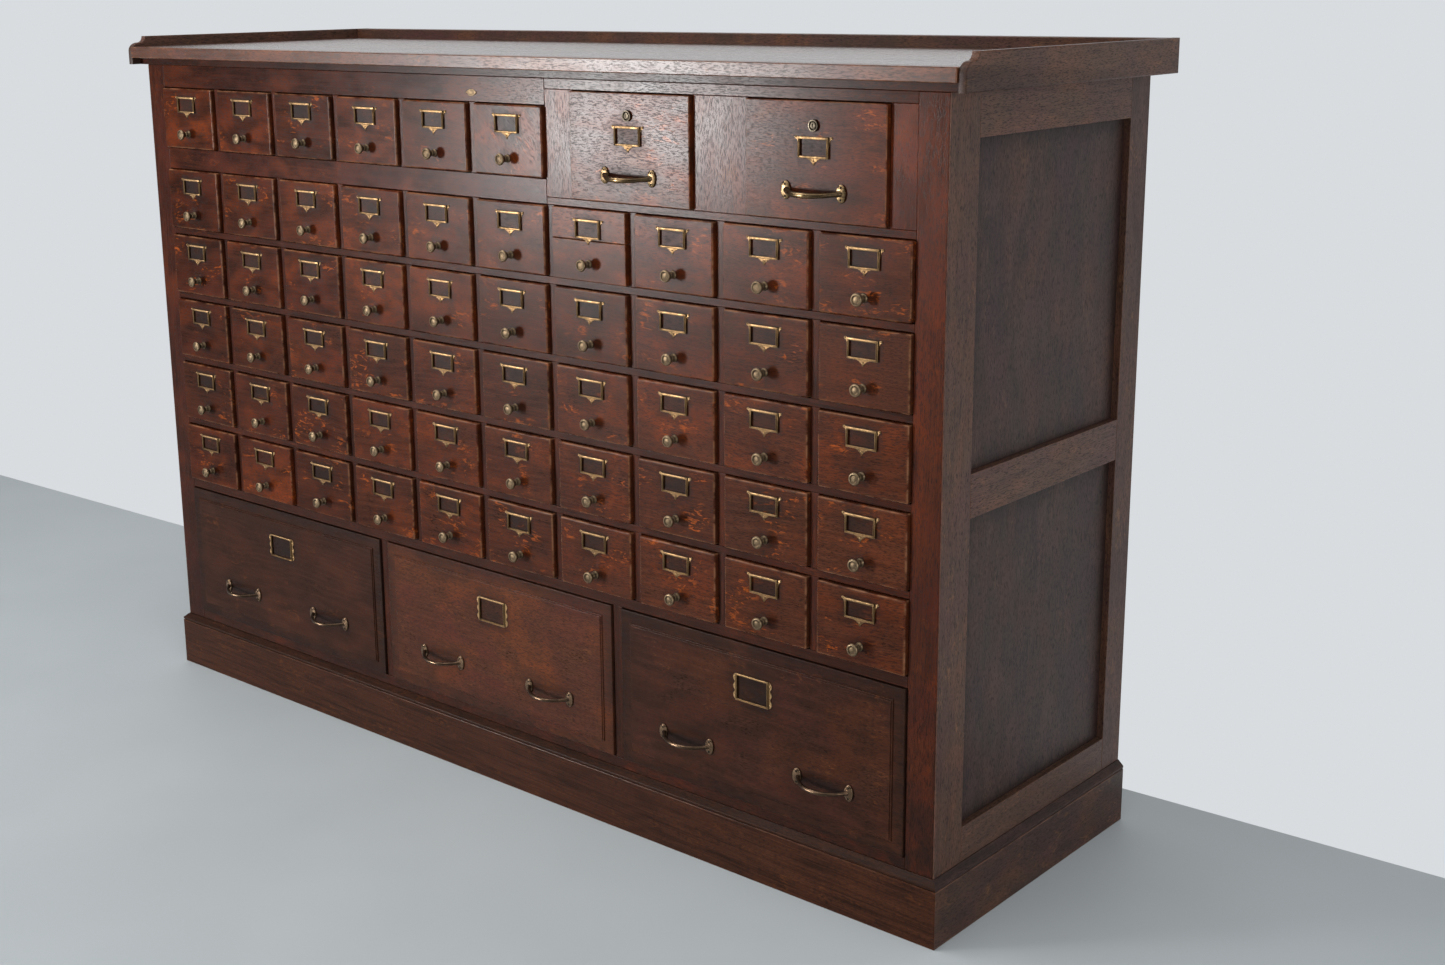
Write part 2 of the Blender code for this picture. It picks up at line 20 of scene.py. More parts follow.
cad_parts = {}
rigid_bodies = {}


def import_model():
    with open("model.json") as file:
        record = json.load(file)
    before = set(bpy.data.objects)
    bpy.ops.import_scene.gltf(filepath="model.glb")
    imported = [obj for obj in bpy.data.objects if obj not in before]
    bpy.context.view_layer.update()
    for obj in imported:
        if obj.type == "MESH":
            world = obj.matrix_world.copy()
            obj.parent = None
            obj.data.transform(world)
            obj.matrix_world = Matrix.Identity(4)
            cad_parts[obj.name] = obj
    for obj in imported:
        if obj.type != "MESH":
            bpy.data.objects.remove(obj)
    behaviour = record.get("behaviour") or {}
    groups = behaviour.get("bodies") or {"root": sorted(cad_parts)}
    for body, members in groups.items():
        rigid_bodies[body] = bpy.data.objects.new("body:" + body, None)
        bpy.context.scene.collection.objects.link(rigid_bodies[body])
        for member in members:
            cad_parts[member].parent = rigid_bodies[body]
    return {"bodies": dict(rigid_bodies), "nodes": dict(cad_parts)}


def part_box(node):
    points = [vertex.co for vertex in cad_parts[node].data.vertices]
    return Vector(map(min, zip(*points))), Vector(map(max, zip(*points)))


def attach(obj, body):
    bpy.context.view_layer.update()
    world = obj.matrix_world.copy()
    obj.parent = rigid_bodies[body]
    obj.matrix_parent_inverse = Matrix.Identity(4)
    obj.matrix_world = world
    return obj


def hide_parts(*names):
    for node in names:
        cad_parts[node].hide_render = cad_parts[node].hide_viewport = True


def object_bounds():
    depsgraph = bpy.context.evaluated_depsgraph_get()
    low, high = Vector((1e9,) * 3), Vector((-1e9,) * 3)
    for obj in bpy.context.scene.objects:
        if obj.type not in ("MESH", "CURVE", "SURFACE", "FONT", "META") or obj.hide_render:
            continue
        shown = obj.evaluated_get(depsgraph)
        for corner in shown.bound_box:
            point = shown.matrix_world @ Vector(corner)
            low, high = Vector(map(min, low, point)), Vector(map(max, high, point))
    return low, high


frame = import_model()
cad_low, cad_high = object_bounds()
dice = random.Random(11)

# Camera: its place, and how it looks at the cabinet
CAMERA_PLACE = (2.2685, -2.3592, 1.3829)
CAMERA_YAW = radians(-41.35)
CAMERA_PITCH = radians(-13.546)
CAMERA_ROLL = radians(-0.7)
CAMERA_LENS = 45.99
CAMERA_SHIFT = (0.0344, -0.0395)

# Floor: where it ends behind the cabinet, how far that line is out of square, and its reach
FLOOR_REAR = 0.365
FLOOR_SKEW = 0.039
FLOOR_REACH = 30.0

# Year rings: how far apart they are, and how much they wander
RING_WIDTH = 0.0095
RING_WARP = 0.055

# Drawer fronts
FRONT_PROUD = 0.0075
FRONT_THICKNESS = 0.022
BORDER_PROUD = 0.004
FRONT_GAP = 0.0012
EASED = 0.0029
FIELD_BORDER = 0.02
FIELD_LEDGE = 0.0026
SPLIT_DRAWER = "drawer_r1_c07"
SPLIT_SHARE = 0.57
SLANTED_DRAWER = "drawer_top_c06"

# Drawer boxes
BOX_SETBACK = 0.001
BOX_TOP_SETBACK = 0.012
BOX_WALL = 0.009
BOX_FLOOR = 0.008
TAIL_COUNT = 3
TAIL_LENGTH = 0.013
JOINED_ROW = "drawer_row_5_joined"

# Carcass
BOARD = 0.022
FRONT_STILE = 0.073
BACK_STILE = 0.058
TOP_RAIL = 0.064
MIDDLE_RAIL = 0.066
MIDDLE_RAIL_CENTRE = 0.669
BOTTOM_RAIL = 0.056
PANEL_RECESS = 0.011
PLINTH_PROJECTION = 0.01
PLINTH_SHOULDER = 0.0935
PLINTH_DECK = 0.016
DECK_INSET = 0.012
DECK_PLANKS = 4
BACK_BOARDS = 14
JOINT = 0.00025
CORNER_SKIN = 0.0018

# Top and gallery
TOP_BAND = 0.021
TOP_LIPPING = 0.03
TOP_PLANKS = 4
GALLERY_THICKNESS = 0.0125
GALLERY_RAIL = 0.036
GALLERY_NOSE = 0.0195
COVE_RADIUS = 0.012
NOSE_DROP = 0.0155

# Label holders: the width of their bars, then the holder on the small and lockable drawers
LABEL_BAR = 0.003
LABEL_TOP_BAR = 0.0037
LABEL_HALF = 0.0265
LABEL_HEIGHT = 0.03
LABEL_BELOW_TOP = 0.0155

# Label holder on the file drawers
FILE_LABEL_HALF = (0.0325, 0.022)
FILE_LABEL_ABOVE = 0.061
FILE_LABEL_LOBES = 3
FILE_LABEL_WING = 0.0045

# Knobs, handles, locks and the blank plate
KNOB_ABOVE_BOTTOM = 0.028
HANDLE_SPAN = 0.097
HANDLE_REACH = 0.03
HANDLE_DROOP = 0.003
HANDLE_FOOT = (0.0082, 0.0132)
FOOT_SCREW_OFFSET = 0.0082
FILE_HANDLE_OFFSET = 0.1355
FILE_HANDLE_DROP = 0.055
LOCK_HANDLE_DROP = 0.042
LOCK_RADIUS = 0.0084
LOCK_BELOW_TOP = 0.034
PLATE_HALF = (0.0102, 0.0058)

# Material slots of the fittings, beside the label holder's
GRIP_SLOT = 1
SHADOW_SLOT = 2
LOCK_SLOT = 3

# A board's axes by the axis of its grain: the one along it, then the two across it
GRAIN_ORDER = {"x": (0, 2, 1), "y": (1, 2, 0), "z": (2, 0, 1)}

# Where the front's pieces start, and the box of the joined row
face_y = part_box("face_frame")[0].y
drawer_face = face_y - FRONT_PROUD
front_back = drawer_face + FRONT_THICKNESS
row_low, row_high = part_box(JOINED_ROW)


# ---- shells of a piece


class Plank:
    """One board's wood: which way its grain runs, how light and how red it is."""

    def __init__(self, axis, tone=0.5, stain=0.5, tilt=0.0):
        self.order = GRAIN_ORDER[axis]
        self.tone = tone + dice.uniform(-0.11, 0.11)
        self.stain = min(1.0, max(0.0, stain + dice.uniform(-0.22, 0.22)))
        turn = tilt + dice.uniform(-0.03, 0.03)
        self.cosine, self.sine = cos(turn), sin(turn)
        self.along = dice.uniform(0, 60)
        pith = dice.uniform(0, 2 * pi)
        away = dice.uniform(0.05, 0.2)
        self.pith = (away * cos(pith), away * sin(pith))
        self.centre = Vector((0, 0, 0))

    def grain_at(self, point):
        """Where a point of the board was in its tree."""
        local = Vector(point) - self.centre
        along, across, depth = (local[i] for i in self.order)
        a = self.cosine * along - self.sine * across
        b = self.sine * along + self.cosine * across
        return a + self.along, b + self.pith[0], depth + self.pith[1]


class Shells:
    """Points, faces and wood values of one piece, gathered shell by shell."""

    def __init__(self):
        self.points, self.normals, self.faces, self.slots = [], [], [], []
        self.grain, self.look, self.stain = [], [], []

    def add(self, points, faces, plank, edges, grime_and_shade=None, slot=0, normals=None):
        """Add a closed shell, with each point's edge wear and a function that gives its darkening, partly
        soiling and partly painted shade.
        """
        start = len(self.points)
        self.points += [tuple(p) for p in points]
        self.normals += normals or [(0.0, 0.0, 0.0)] * len(points)
        self.faces += [[start + i for i in face] for face in faces]
        self.slots += [slot] * len(faces)
        for point, edge in zip(points, edges):
            self.grain += plank.grain_at(point)
            self.look += (plank.tone, edge, grime_and_shade(point) if grime_and_shade else 0.0)
            self.stain.append(plank.stain)


def stations(low, high, bevel, rim, pitch):
    """(place, wear) of the cuts along one side of a board, from edge to edge; on the wood the wear also
    paints a highlight along the edges.
    """
    start, end = low + bevel, high - bevel
    marks = [(low, 1.0), (start, 0.35)]
    if end - start > 3 * rim:
        start += rim
        end -= rim
        steps = max(1, round((end - start) / pitch))
        marks += [(start + (end - start) * i / steps, 0.0) for i in range(steps + 1)]
    return marks + [(high - bevel, 0.35), (high, 1.0)]


def eased_point(point, low, high, bevel, wobble):
    """A surface point moved onto the board's rounded edge, with the normal there."""
    core = Vector([min(max(point[i], low[i] + bevel), high[i] - bevel) for i in range(3)])
    out = Vector(point) - core
    normal = out.normalized()
    reach = bevel
    if wobble and sum(abs(v) > 1e-7 for v in out) > 1:
        reach *= 1 - wobble * (0.5 + 0.5 * noise.noise(Vector(point) * 38.0))
    return core + normal * reach, tuple(normal)


def add_board(shells, low, high, plank, bevel=0.0008, pitch=0.05, rim=0.003, wobble=0.0,
              grime_and_shade=None, slot=0):
    """A board with eased edges, cut finely enough to carry its wear."""
    plank.centre = (Vector(low) + Vector(high)) / 2
    sides = [stations(low[i], high[i], bevel, rim, pitch) for i in range(3)]
    last = [len(side) - 1 for side in sides]
    ids, points, normals, edges, faces = {}, [], [], [], []
    for cuts in product(*(enumerate(side) for side in sides)):
        key = tuple(i for i, _ in cuts)
        if any(i in (0, end) for i, end in zip(key, last)):
            ids[key] = len(points)
            point, normal = eased_point([place for _, (place, _) in cuts], low, high, bevel, wobble)
            points.append(point)
            normals.append(normal)
            edges.append(sorted(wear for _, (_, wear) in cuts)[1])
    for axis, far in product(range(3), (False, True)):
        other, third = (axis + 1) % 3, (axis + 2) % 3
        for a, b in product(range(last[other]), range(last[third])):
            corners = []
            for da, db in ((0, 0), (1, 0), (1, 1), (0, 1)):
                key = [last[axis] if far else 0] * 3
                key[other], key[third] = a + da, b + db
                corners.append(ids[tuple(key)])
            faces.append(corners if far else corners[::-1])
    shells.add(points, faces, plank, edges, grime_and_shade, slot, normals)


def add_lofted(shells, rings, plank, edges, grime_and_shade=None, slot=0):
    """A skin through rings of points, capped at both ends."""
    count = len(rings[0])
    last = (len(rings) - 1) * count
    faces = []
    for near in range(0, last, count):
        for i in range(count):
            j = (i + 1) % count
            faces.append([near + i, near + j, near + count + j, near + count + i])
    faces.append(list(range(count))[::-1])
    faces.append([last + i for i in range(count)])
    shells.add([p for ring in rings for p in ring], faces, plank, edges, grime_and_shade, slot)


def circle(sides):
    """(cosine, sine) of the points of a round ring."""
    return [(cos(2 * pi * i / sides), sin(2 * pi * i / sides)) for i in range(sides)]


def add_turned(shells, centre, profile, plank, sides=28, slot=0, size=(1.0, 1.0)):
    """A round or oval piece standing out of the front; profile is (radius, height, wear)."""
    rings, edges = [], []
    for radius, height, wear in profile:
        across, up = radius * size[0], radius * size[1]
        y = centre[1] - height
        rings.append([(centre[0] + across * c, y, centre[2] + up * s) for c, s in circle(sides)])
        edges += [wear] * sides
    add_lofted(shells, rings, plank, edges, slot=slot)


def add_swept(shells, path, radii, wear, plank, slot):
    """A bar of changing thickness along a path that lies across the front."""
    sides = 16
    rings, edges = [], []
    last = len(path) - 1
    for i, point in enumerate(path):
        along = Vector(path[min(i + 1, last)]) - Vector(path[max(i - 1, 0)])
        if i in (0, last):
            along = Vector((0, -1, 0)) if i == 0 else Vector((0, 1, 0))
        across = along.cross(Vector((0, 0, 1))).normalized()
        upward = across.cross(along).normalized()
        rings.append([Vector(point) + (across * c + upward * s) * radii[i] for c, s in circle(sides)])
        edges += [wear[i]] * sides
    add_lofted(shells, rings, plank, edges, slot=slot)


def add_outline(shells, outline, near, thickness, axis, plank, bevel, wear=0.8):
    """A flat outline carried along an axis, with eased rims and a worn margin."""
    full = abs(thickness)
    levels = [(bevel, 0.0), (0.0, bevel), (0.0, full - bevel), (bevel, full)]
    centre = sum((Vector(p) for p in outline), Vector((0, 0))) / len(outline)
    rings = []
    for inset, depth in levels:
        ring = []
        for place in outline:
            away = Vector(place) - centre
            kept = Vector(place) - away.normalized() * inset
            level = near + copysign(depth, thickness)
            ring.append((level, kept.x, kept.y) if axis == "x" else (kept.x, level, kept.y))
        rings.append(ring)
    add_lofted(shells, rings, plank, [wear] * len(levels) * len(outline))


def put_in_scene(name, data):
    """A new object in the scene."""
    thing = bpy.data.objects.new(name, data)
    bpy.context.scene.collection.objects.link(thing)
    return thing


def make_piece(name, shells, materials, body, nodes, smooth=False):
    """Turn gathered shells into a piece that rides on a body and stands for CAD nodes."""
    mesh = bpy.data.meshes.new(name)
    mesh.from_pydata(shells.points, [], shells.faces)
    for material in materials:
        mesh.materials.append(material)
    mesh.polygons.foreach_set("material_index", shells.slots)
    for title, kind in (("grain", "vector"), ("look", "vector"), ("stain", "value")):
        attribute = mesh.attributes.new(title, "FLOAT_VECTOR" if kind == "vector" else "FLOAT", "POINT")
        attribute.data.foreach_set(kind, getattr(shells, title))
    piece = put_in_scene(name, mesh)
    bm = bmesh.new()
    bm.from_mesh(mesh)
    bmesh.ops.recalc_face_normals(bm, faces=bm.faces)
    bm.to_mesh(mesh)
    bm.free()
    mesh.shade_smooth()
    if smooth:
        mesh.set_sharp_from_angle(angle=radians(48))
    else:
        mesh.normals_split_custom_set_from_vertices(shells.normals)
    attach(piece, body)
    if nodes:
        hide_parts(*nodes)


def carcass_piece(name, shells, material, node, smooth=False):
    """A piece of the carcass that stands for one of its CAD nodes."""
    make_piece(name, shells, [material], "carcass", [node], smooth)


# ---- materials


class Tree:
    """Short calls that add and link the nodes of a material or of the world."""

    def __init__(self, owner):
        owner.use_nodes = True
        self.tree = owner.node_tree
        self.shader = self.tree.nodes.get("Principled BSDF") or self.tree.nodes["Background"]

    def add(self, kind, **values):
        node = self.tree.nodes.new(kind)
        for key, value in values.items():
            setattr(node, key, value)
        return node

    def put(self, value, socket):
        """Link a value that varies; write one that is the same all over on the socket."""
        if isinstance(value, bpy.types.NodeSocket):
            self.tree.links.new(value, socket)
        else:
            socket.default_value = value

    def fill(self, node, **values):
        """Put values on a node's inputs; an underscore in a title stands for a space."""
        for title, value in values.items():
            self.put(value, node.inputs[title.replace("_", " ")])
        return node.outputs[0]

    def math(self, operation, a, b=0.0, clamp=False):
        node = self.add("ShaderNodeMath", operation=operation, use_clamp=clamp)
        self.put(a, node.inputs[0])
        self.put(b, node.inputs[1])
        return node.outputs[0]

    def plus(self, a, b, clamp=False):
        return self.math("ADD", a, b, clamp)

    def minus(self, a, b):
        return self.math("SUBTRACT", a, b)

    def times(self, a, b, clamp=False):
        return self.math("MULTIPLY", a, b, clamp)

    def scaled(self, vector, scale):
        node = self.add("ShaderNodeVectorMath", operation="MULTIPLY")
        self.put(vector, node.inputs[0])
        self.put(scale, node.inputs[1])
        return node.outputs[0]

    def length(self, vector):
        node = self.add("ShaderNodeVectorMath", operation="LENGTH")
        self.put(vector, node.inputs[0])
        return node.outputs["Value"]

    def noise(self, vector, scale, detail=2.0, roughness=0.5, distortion=0.0):
        return self.fill(self.add("ShaderNodeTexNoise"), Vector=self.scaled(vector, scale), Scale=1.0,
                         Detail=detail, Roughness=roughness, Distortion=distortion)

    def fit(self, value, low, high, to_low=0.0, to_high=1.0):
        node = self.add("ShaderNodeMapRange", interpolation_type="SMOOTHSTEP")
        return self.fill(node, Value=value, From_Min=low, From_Max=high, To_Min=to_low, To_Max=to_high)

    def mix(self, share, a, b):
        node = self.add("ShaderNodeMix", data_type="RGBA")
        self.put(share, node.inputs[0])
        for value, socket in ((a, node.inputs[6]), (b, node.inputs[7])):
            self.put((*value, 1.0) if isinstance(value, tuple) else value, socket)
        return node.outputs[2]

    def attribute(self, name, output="Vector"):
        return self.add("ShaderNodeAttribute", attribute_name=name).outputs[output]

    def bump(self, height, strength, distance):
        return self.fill(self.add("ShaderNodeBump"), Strength=strength, Distance=distance, Height=height)

    def split(self, vector):
        node = self.add("ShaderNodeSeparateXYZ")
        self.put(vector, node.inputs[0])
        return node.outputs


def new_material(name):
    material = bpy.data.materials.new(name)
    return material, Tree(material)


def bare_oak(t, g, tone, fibre, dark, light, contrast, figure):
    """Brown of the wood from its streaks, fibres and year rings."""
    streak = t.noise(g, (3.0, 75, 75), 4.0, 0.6, 0.4)
    warp = t.noise(g, (4, 10, 10))
    radius = t.plus(t.length(t.scaled(g, (0, 1, 1))), t.times(warp, RING_WARP))
    rings = t.math("SINE", t.times(radius, 2 * pi / RING_WIDTH))
    share = t.plus(t.times(t.minus(streak, 0.5), 0.9 * contrast), tone)
    share = t.plus(share, t.times(t.minus(fibre, 0.5), 1.9 * contrast))
    colour = t.mix(t.plus(share, t.times(rings, 0.09), clamp=True), dark, light)
    if figure:
        cloud = t.fit(t.noise(g, (8, 15, 15), 3.0, 0.6, 1.0), 0.48, 0.72)
        colour = t.mix(t.times(cloud, figure), colour, tuple(1.5 * v for v in light))
    return colour


def reddened(t, g, colour, blotch, stain, red, flecks):
    """Red stain in soft blotches, and the orange ray flecks over it."""
    ember = t.noise(g, (6, 9, 9), 2.0, 0.5, 0.5)
    redness = t.times(t.fit(blotch, 0.33, 0.72, 0.15, 1.05), stain, clamp=True)
    crimson = (0.62 * red[0], 0.62 * red[1], 1.2 * red[2])
    colour = t.mix(redness, colour, t.mix(t.fit(ember, 0.38, 0.62), crimson, red))
    ray_mask = t.fit(t.noise(g, (14, 22, 22), 1.0), 0.54, 0.66)
    rays = t.fit(t.noise(g, (48, 130, 130), 3.0, 0.6, 1.2), 0.53, 0.66)
    orange = (min(1.0, 1.7 * red[0]), 2.0 * red[1], 1.5 * red[2])
    return t.mix(t.times(t.times(rays, ray_mask), 0.8 * flecks), colour, orange)


def oak(name, dark, light, red, worn, rough=0.2, sheen=0.07, flecks=1.0, relief=1.0,
        contrast=0.7, wear=0.6, figure=0.0, grain=None):
    """Stained and varnished oak: streaks, rings, pores, ray flecks, edges lightened by wear
    and a painted highlight, and darkening that is partly soiling and partly painted shade.
    """
    material, t = new_material(name)
    g = grain(t) if grain else t.attribute("grain")
    tone, edge, grime_and_shade = t.split(t.attribute("look"))
    fibre = t.noise(g, (9, 420, 420), 3.0, 0.65)
    blotch = t.noise(g, (13, 25, 25), 3.0, 0.55, 0.3)
    pores = t.fit(t.noise(g, (130, 880, 880), 1.0), 0.38, 0.47, 1.0, 0.0)
    colour = bare_oak(t, g, tone, fibre, dark, light, contrast, figure)
    colour = reddened(t, g, colour, blotch, t.attribute("stain", "Fac"), red, flecks)
    colour = t.mix(t.times(pores, 0.7), colour, tuple(0.3 * v for v in dark))
    # Worn colour on the edges, in patches: partly real wear and partly a painted highlight along the eased
    # edges.
    wear_and_highlight_patches = t.fit(t.noise(g, (30, 60, 60), 3.0, 0.6), 0.36, 0.62)
    edge_wear_and_highlight = t.times(t.times(edge, edge), wear_and_highlight_patches)
    colour = t.mix(t.times(edge_wear_and_highlight, wear), colour, worn)
    # Darkening toward near black: soiling round the fittings and painted shade in gaps, recesses and under
    # overhangs.
    dirt_and_shade = t.times(grime_and_shade, t.fit(t.noise(g, (35, 45, 45), 3.0, 0.6), 0.25, 0.65, 0.55, 1.0))
    colour = t.mix(t.times(dirt_and_shade, 0.85), colour, (0.008, 0.006, 0.005))
    gloss = t.plus(t.fit(blotch, 0.3, 0.7, rough - 0.01, rough + 0.02), t.times(dirt_and_shade, 0.12))
    gloss = t.plus(gloss, t.times(pores, 0.08), clamp=True)
    ripple = t.noise(g, (20, 60, 60))
    height = t.plus(t.times(fibre, 0.05), t.times(ripple, 0.05))
    height = t.minus(height, t.times(pores, 0.06))
    t.fill(t.shader, Base_Color=colour, Roughness=gloss, Specular_IOR_Level=sheen,
           Normal=t.bump(height, 0.4 * relief, 0.0006))
    return material


def grid_grain(t):
    """Grain read from the divider grid's own place, since it keeps its CAD mesh."""
    x, y, z = t.split(t.add("ShaderNodeTexCoord").outputs["Object"])
    joined = t.add("ShaderNodeCombineXYZ")
    return t.fill(joined, X=t.plus(y, 3.1), Y=t.plus(z, 3.1), Z=t.plus(x, 3.1))


def metal(name, base, dull, bright, rough, tarnish=0.5):
    """Old brass or bronze: tarnish in patches, bright where hands have rubbed it."""
    material, t = new_material(name)
    g = t.attribute("grain")
    tone, edge, _ = t.split(t.attribute("look"))
    patches = t.noise(g, (170, 170, 170), 4.0, 0.6, 0.5)
    spots = t.noise(g, (900, 900, 900))
    share = t.plus(t.fit(patches, 0.35, 0.65), t.times(tone, 0.5))
    colour = t.mix(t.times(share, tarnish, clamp=True), base, dull)
    rubbed = t.times(edge, t.fit(spots, 0.25, 0.6, 0.4, 1.0), clamp=True)
    gloss = t.minus(t.fit(patches, 0.3, 0.7, rough, rough + 0.2), t.times(edge, 0.12))
    t.fill(t.shader, Base_Color=t.mix(rubbed, colour, bright), Metallic=1.0, Roughness=gloss,
           Normal=t.bump(t.plus(patches, t.times(spots, 0.4)), 0.35, 0.0003))
    return material


# Worn edge colour of the oak, which also paints a highlight along the edges.
OAK_WORN_AND_HIGHLIGHT = (0.42, 0.2, 0.1)
INNER = ((0.1, 0.058, 0.03), (0.33, 0.205, 0.112), (0.27, 0.145, 0.066), (0.42, 0.28, 0.16))

front_oak = oak(
    "front_oak", (0.018, 0.0056, 0.003), (0.084, 0.0275, 0.0135), (0.2, 0.036, 0.0066), OAK_WORN_AND_HIGHLIGHT,
)
frame_oak = oak(
    "frame_oak", (0.018, 0.0056, 0.0034), (0.078, 0.0215, 0.0108), (0.145, 0.028, 0.0072),
    (0.17, 0.062, 0.032), sheen=0.08, flecks=0.25, contrast=1.2, wear=0.25,
)
file_oak = oak(
    "file_oak", (0.028, 0.011, 0.007), (0.094, 0.036, 0.02), (0.155, 0.042, 0.015),
    (0.24, 0.11, 0.06), flecks=0.22, contrast=0.4, wear=0.16, figure=0.1,
)
plinth_oak = oak(
    "plinth_oak", (0.016, 0.0062, 0.0038), (0.076, 0.0265, 0.013), (0.12, 0.032, 0.0105),
    (0.2, 0.085, 0.04), sheen=0.08, flecks=0.3, contrast=0.9, wear=0.2,
)
side_oak = oak(
    "side_oak", (0.034, 0.018, 0.013), (0.115, 0.06, 0.04), (0.19, 0.072, 0.036),
    (0.27, 0.13, 0.08), rough=0.38, sheen=0.18, flecks=0.35, wear=0.3, figure=0.12,
)
panel_oak = oak(
    "panel_oak", (0.022, 0.013, 0.0105), (0.052, 0.03, 0.0235), (0.11, 0.045, 0.028),
    (0.22, 0.13, 0.08), rough=0.38, sheen=0.18, flecks=0.3, contrast=0.6, wear=0.3, figure=0.55,
)
top_oak = oak(
    "top_oak", (0.03, 0.016, 0.011), (0.115, 0.052, 0.031), (0.16, 0.052, 0.021),
    OAK_WORN_AND_HIGHLIGHT, rough=0.26, sheen=0.8, flecks=0.4, relief=0.5,
)
top_front_oak = oak(
    "top_front_oak", (0.024, 0.0105, 0.007), (0.112, 0.044, 0.024), (0.18, 0.05, 0.018),
    OAK_WORN_AND_HIGHLIGHT, rough=0.27, sheen=0.24, flecks=0.5, contrast=1.0, wear=0.4,
)
inner_oak = oak("inner_oak", *INNER, rough=0.6, flecks=0.25)
grid_oak = oak("grid_oak", *INNER, rough=0.65, flecks=0.2, grain=grid_grain)

label_brass = metal(
    "label_brass", (0.175, 0.096, 0.04), (0.052, 0.031, 0.018), (0.44, 0.28, 0.135), 0.36, 0.8)
knob_brass = metal(
    "knob_brass", (0.105, 0.07, 0.04), (0.042, 0.029, 0.019), (0.25, 0.18, 0.108), 0.42, 0.75)
handle_bronze = metal(
    "handle_bronze", (0.095, 0.059, 0.03), (0.032, 0.022, 0.015), (0.36, 0.24, 0.12), 0.25, 0.85)
file_bronze = metal(
    "file_bronze", (0.088, 0.053, 0.032), (0.03, 0.02, 0.015), (0.26, 0.165, 0.1), 0.27, 0.85)
lock_steel = metal(
    "lock_steel", (0.05, 0.042, 0.031), (0.018, 0.015, 0.012), (0.26, 0.21, 0.15), 0.34, 0.85)
shadow_metal = metal(
    "shadow_metal", (0.012, 0.01, 0.008), (0.006, 0.005, 0.004), (0.03, 0.025, 0.02), 0.6)


# ---- fittings


def fall(distance, reach):
    """1 at no distance, falling smoothly to 0 at the reach."""
    share = max(0.0, 1 - max(0.0, distance) / reach)
    return share * share


def add_screw(shells, centre, radius, plank):
    """A domed screw or pin head."""
    profile = [(radius, -0.0006, 0.2), (radius, 0.0004, 0.5), (radius * 0.8, 0.001, 1.0)]
    profile += [(radius * 0.45, 0.0013, 1.0), (radius * 0.05, 0.0014, 1.0)]
    add_turned(shells, centre, profile, plank, sides=12)


def add_bar(shells, x0, x1, z0, z1, depth, plank):
    """One bar of a label holder, standing out of the front by its depth."""
    low = (min(x0, x1), drawer_face - depth, z0)
    high = (max(x0, x1), drawer_face + 0.0004, z1)
    add_board(shells, low, high, plank, bevel=0.00045, pitch=1.0, rim=0.01)


def add_holder(shells, x, half, top, bottom, top_bar, plank):
    """The four bars round a label: a channel between two thin lips on three sides."""
    bar = LABEL_BAR
    lip = bar * 0.3
    channel, outer_lip, inner_lip = 0.0018, 0.003, 0.0034
    add_bar(shells, x - half, x + half, top - top_bar, top, 0.0032, plank)
    add_bar(shells, x - half, x + half, bottom, bottom + bar, channel, plank)
    add_bar(shells, x - half, x + half, bottom, bottom + lip, outer_lip, plank)
    add_bar(shells, x - half + lip, x + half - lip, bottom + bar - lip, bottom + bar, inner_lip, plank)
    for side in (-1, 1):
        outer = x + side * half
        inner = outer - side * bar
        add_bar(shells, outer, inner, bottom, top, channel, plank)
        add_bar(shells, outer, outer - side * lip, bottom, top, outer_lip, plank)
        add_bar(shells, inner, inner + side * lip, bottom + bar, top, inner_lip, plank)


def ear_outline(x, top, side):
    """A hooked ear at the top corner of a label holder, with a tail down the side bar."""
    lobe = 0.0019
    cx, cz = x + side * 0.0046, top - 0.001
    points = []
    for i in range(9):
        angle = radians(105 - 24 * i)
        points.append((cx + side * lobe * cos(angle), cz + lobe * sin(angle)))
    for i in range(5):
        points.append((x + side * (0.0006 + 0.0022 * (1 - i / 4) ** 2), top - 0.0032 - 0.0024 * i))
    points += [(x - side * 0.0012, top - 0.014), (x - side * 0.0012, top - 0.0008)]
    return points if side < 0 else points[::-1]


def pendant_outline(x, bottom):
    """The scalloped drop under a label holder."""
    shape = [(0.0114, 0.0006), (0.0096, -0.0016), (0.0068, -0.0022), (0.0056, -0.0042),
             (0.003, -0.0054), (0.001, -0.0098)]
    return [(x + a, bottom + b) for a, b in shape] + [(x - a, bottom + b) for a, b in shape[::-1]]


def add_shield(shells, x, top, plank):
    """Label holder with ears, a pendant and three pins, as on the small drawers."""
    bottom = top - LABEL_HEIGHT
    pin_y = drawer_face - 0.001
    add_holder(shells, x, LABEL_HALF, top, bottom, LABEL_TOP_BAR, plank)
    for side in (-1, 1):
        corner = x + side * LABEL_HALF
        ear = ear_outline(corner, top, side)
        add_outline(shells, ear, drawer_face, -0.001, "y", plank, bevel=0.0003, wear=0.5)
        add_screw(shells, (corner + side * 0.0044, pin_y, top - 0.0011), 0.0013, plank)
    pendant = pendant_outline(x, bottom)
    add_outline(shells, pendant, drawer_face, -0.001, "y", plank, bevel=0.0004, wear=0.15)
    add_screw(shells, (x, pin_y, bottom - 0.0036), 0.0013, plank)


def add_file_holder(shells, x, z, plank):
    """Plain label holder with a scalloped wing down each side, as on the file drawers."""
    half, tall = FILE_LABEL_HALF
    steps = 6
    add_holder(shells, x, half, z + tall, z - tall, LABEL_BAR, plank)
    for side in (-1, 1):
        root = x + side * (half - 0.001)
        points = [(root, z - tall)]
        for lobe, i in product(range(FILE_LABEL_LOBES), range(steps)):
            share = (i + 0.5) / steps
            out = 0.002 + FILE_LABEL_WING * sin(pi * share)
            points.append((root + side * out, z - tall + 2 * tall * (lobe + share) / FILE_LABEL_LOBES))
        points.append((root, z + tall))
        add_outline(shells, points[::side], drawer_face, -0.0012, "y", plank, bevel=0.0002)
        for end in (-1, 1):
            pin = (root + side * 0.0034, drawer_face - 0.001, z + end * tall * 0.66)
            add_screw(shells, pin, 0.0014, plank)


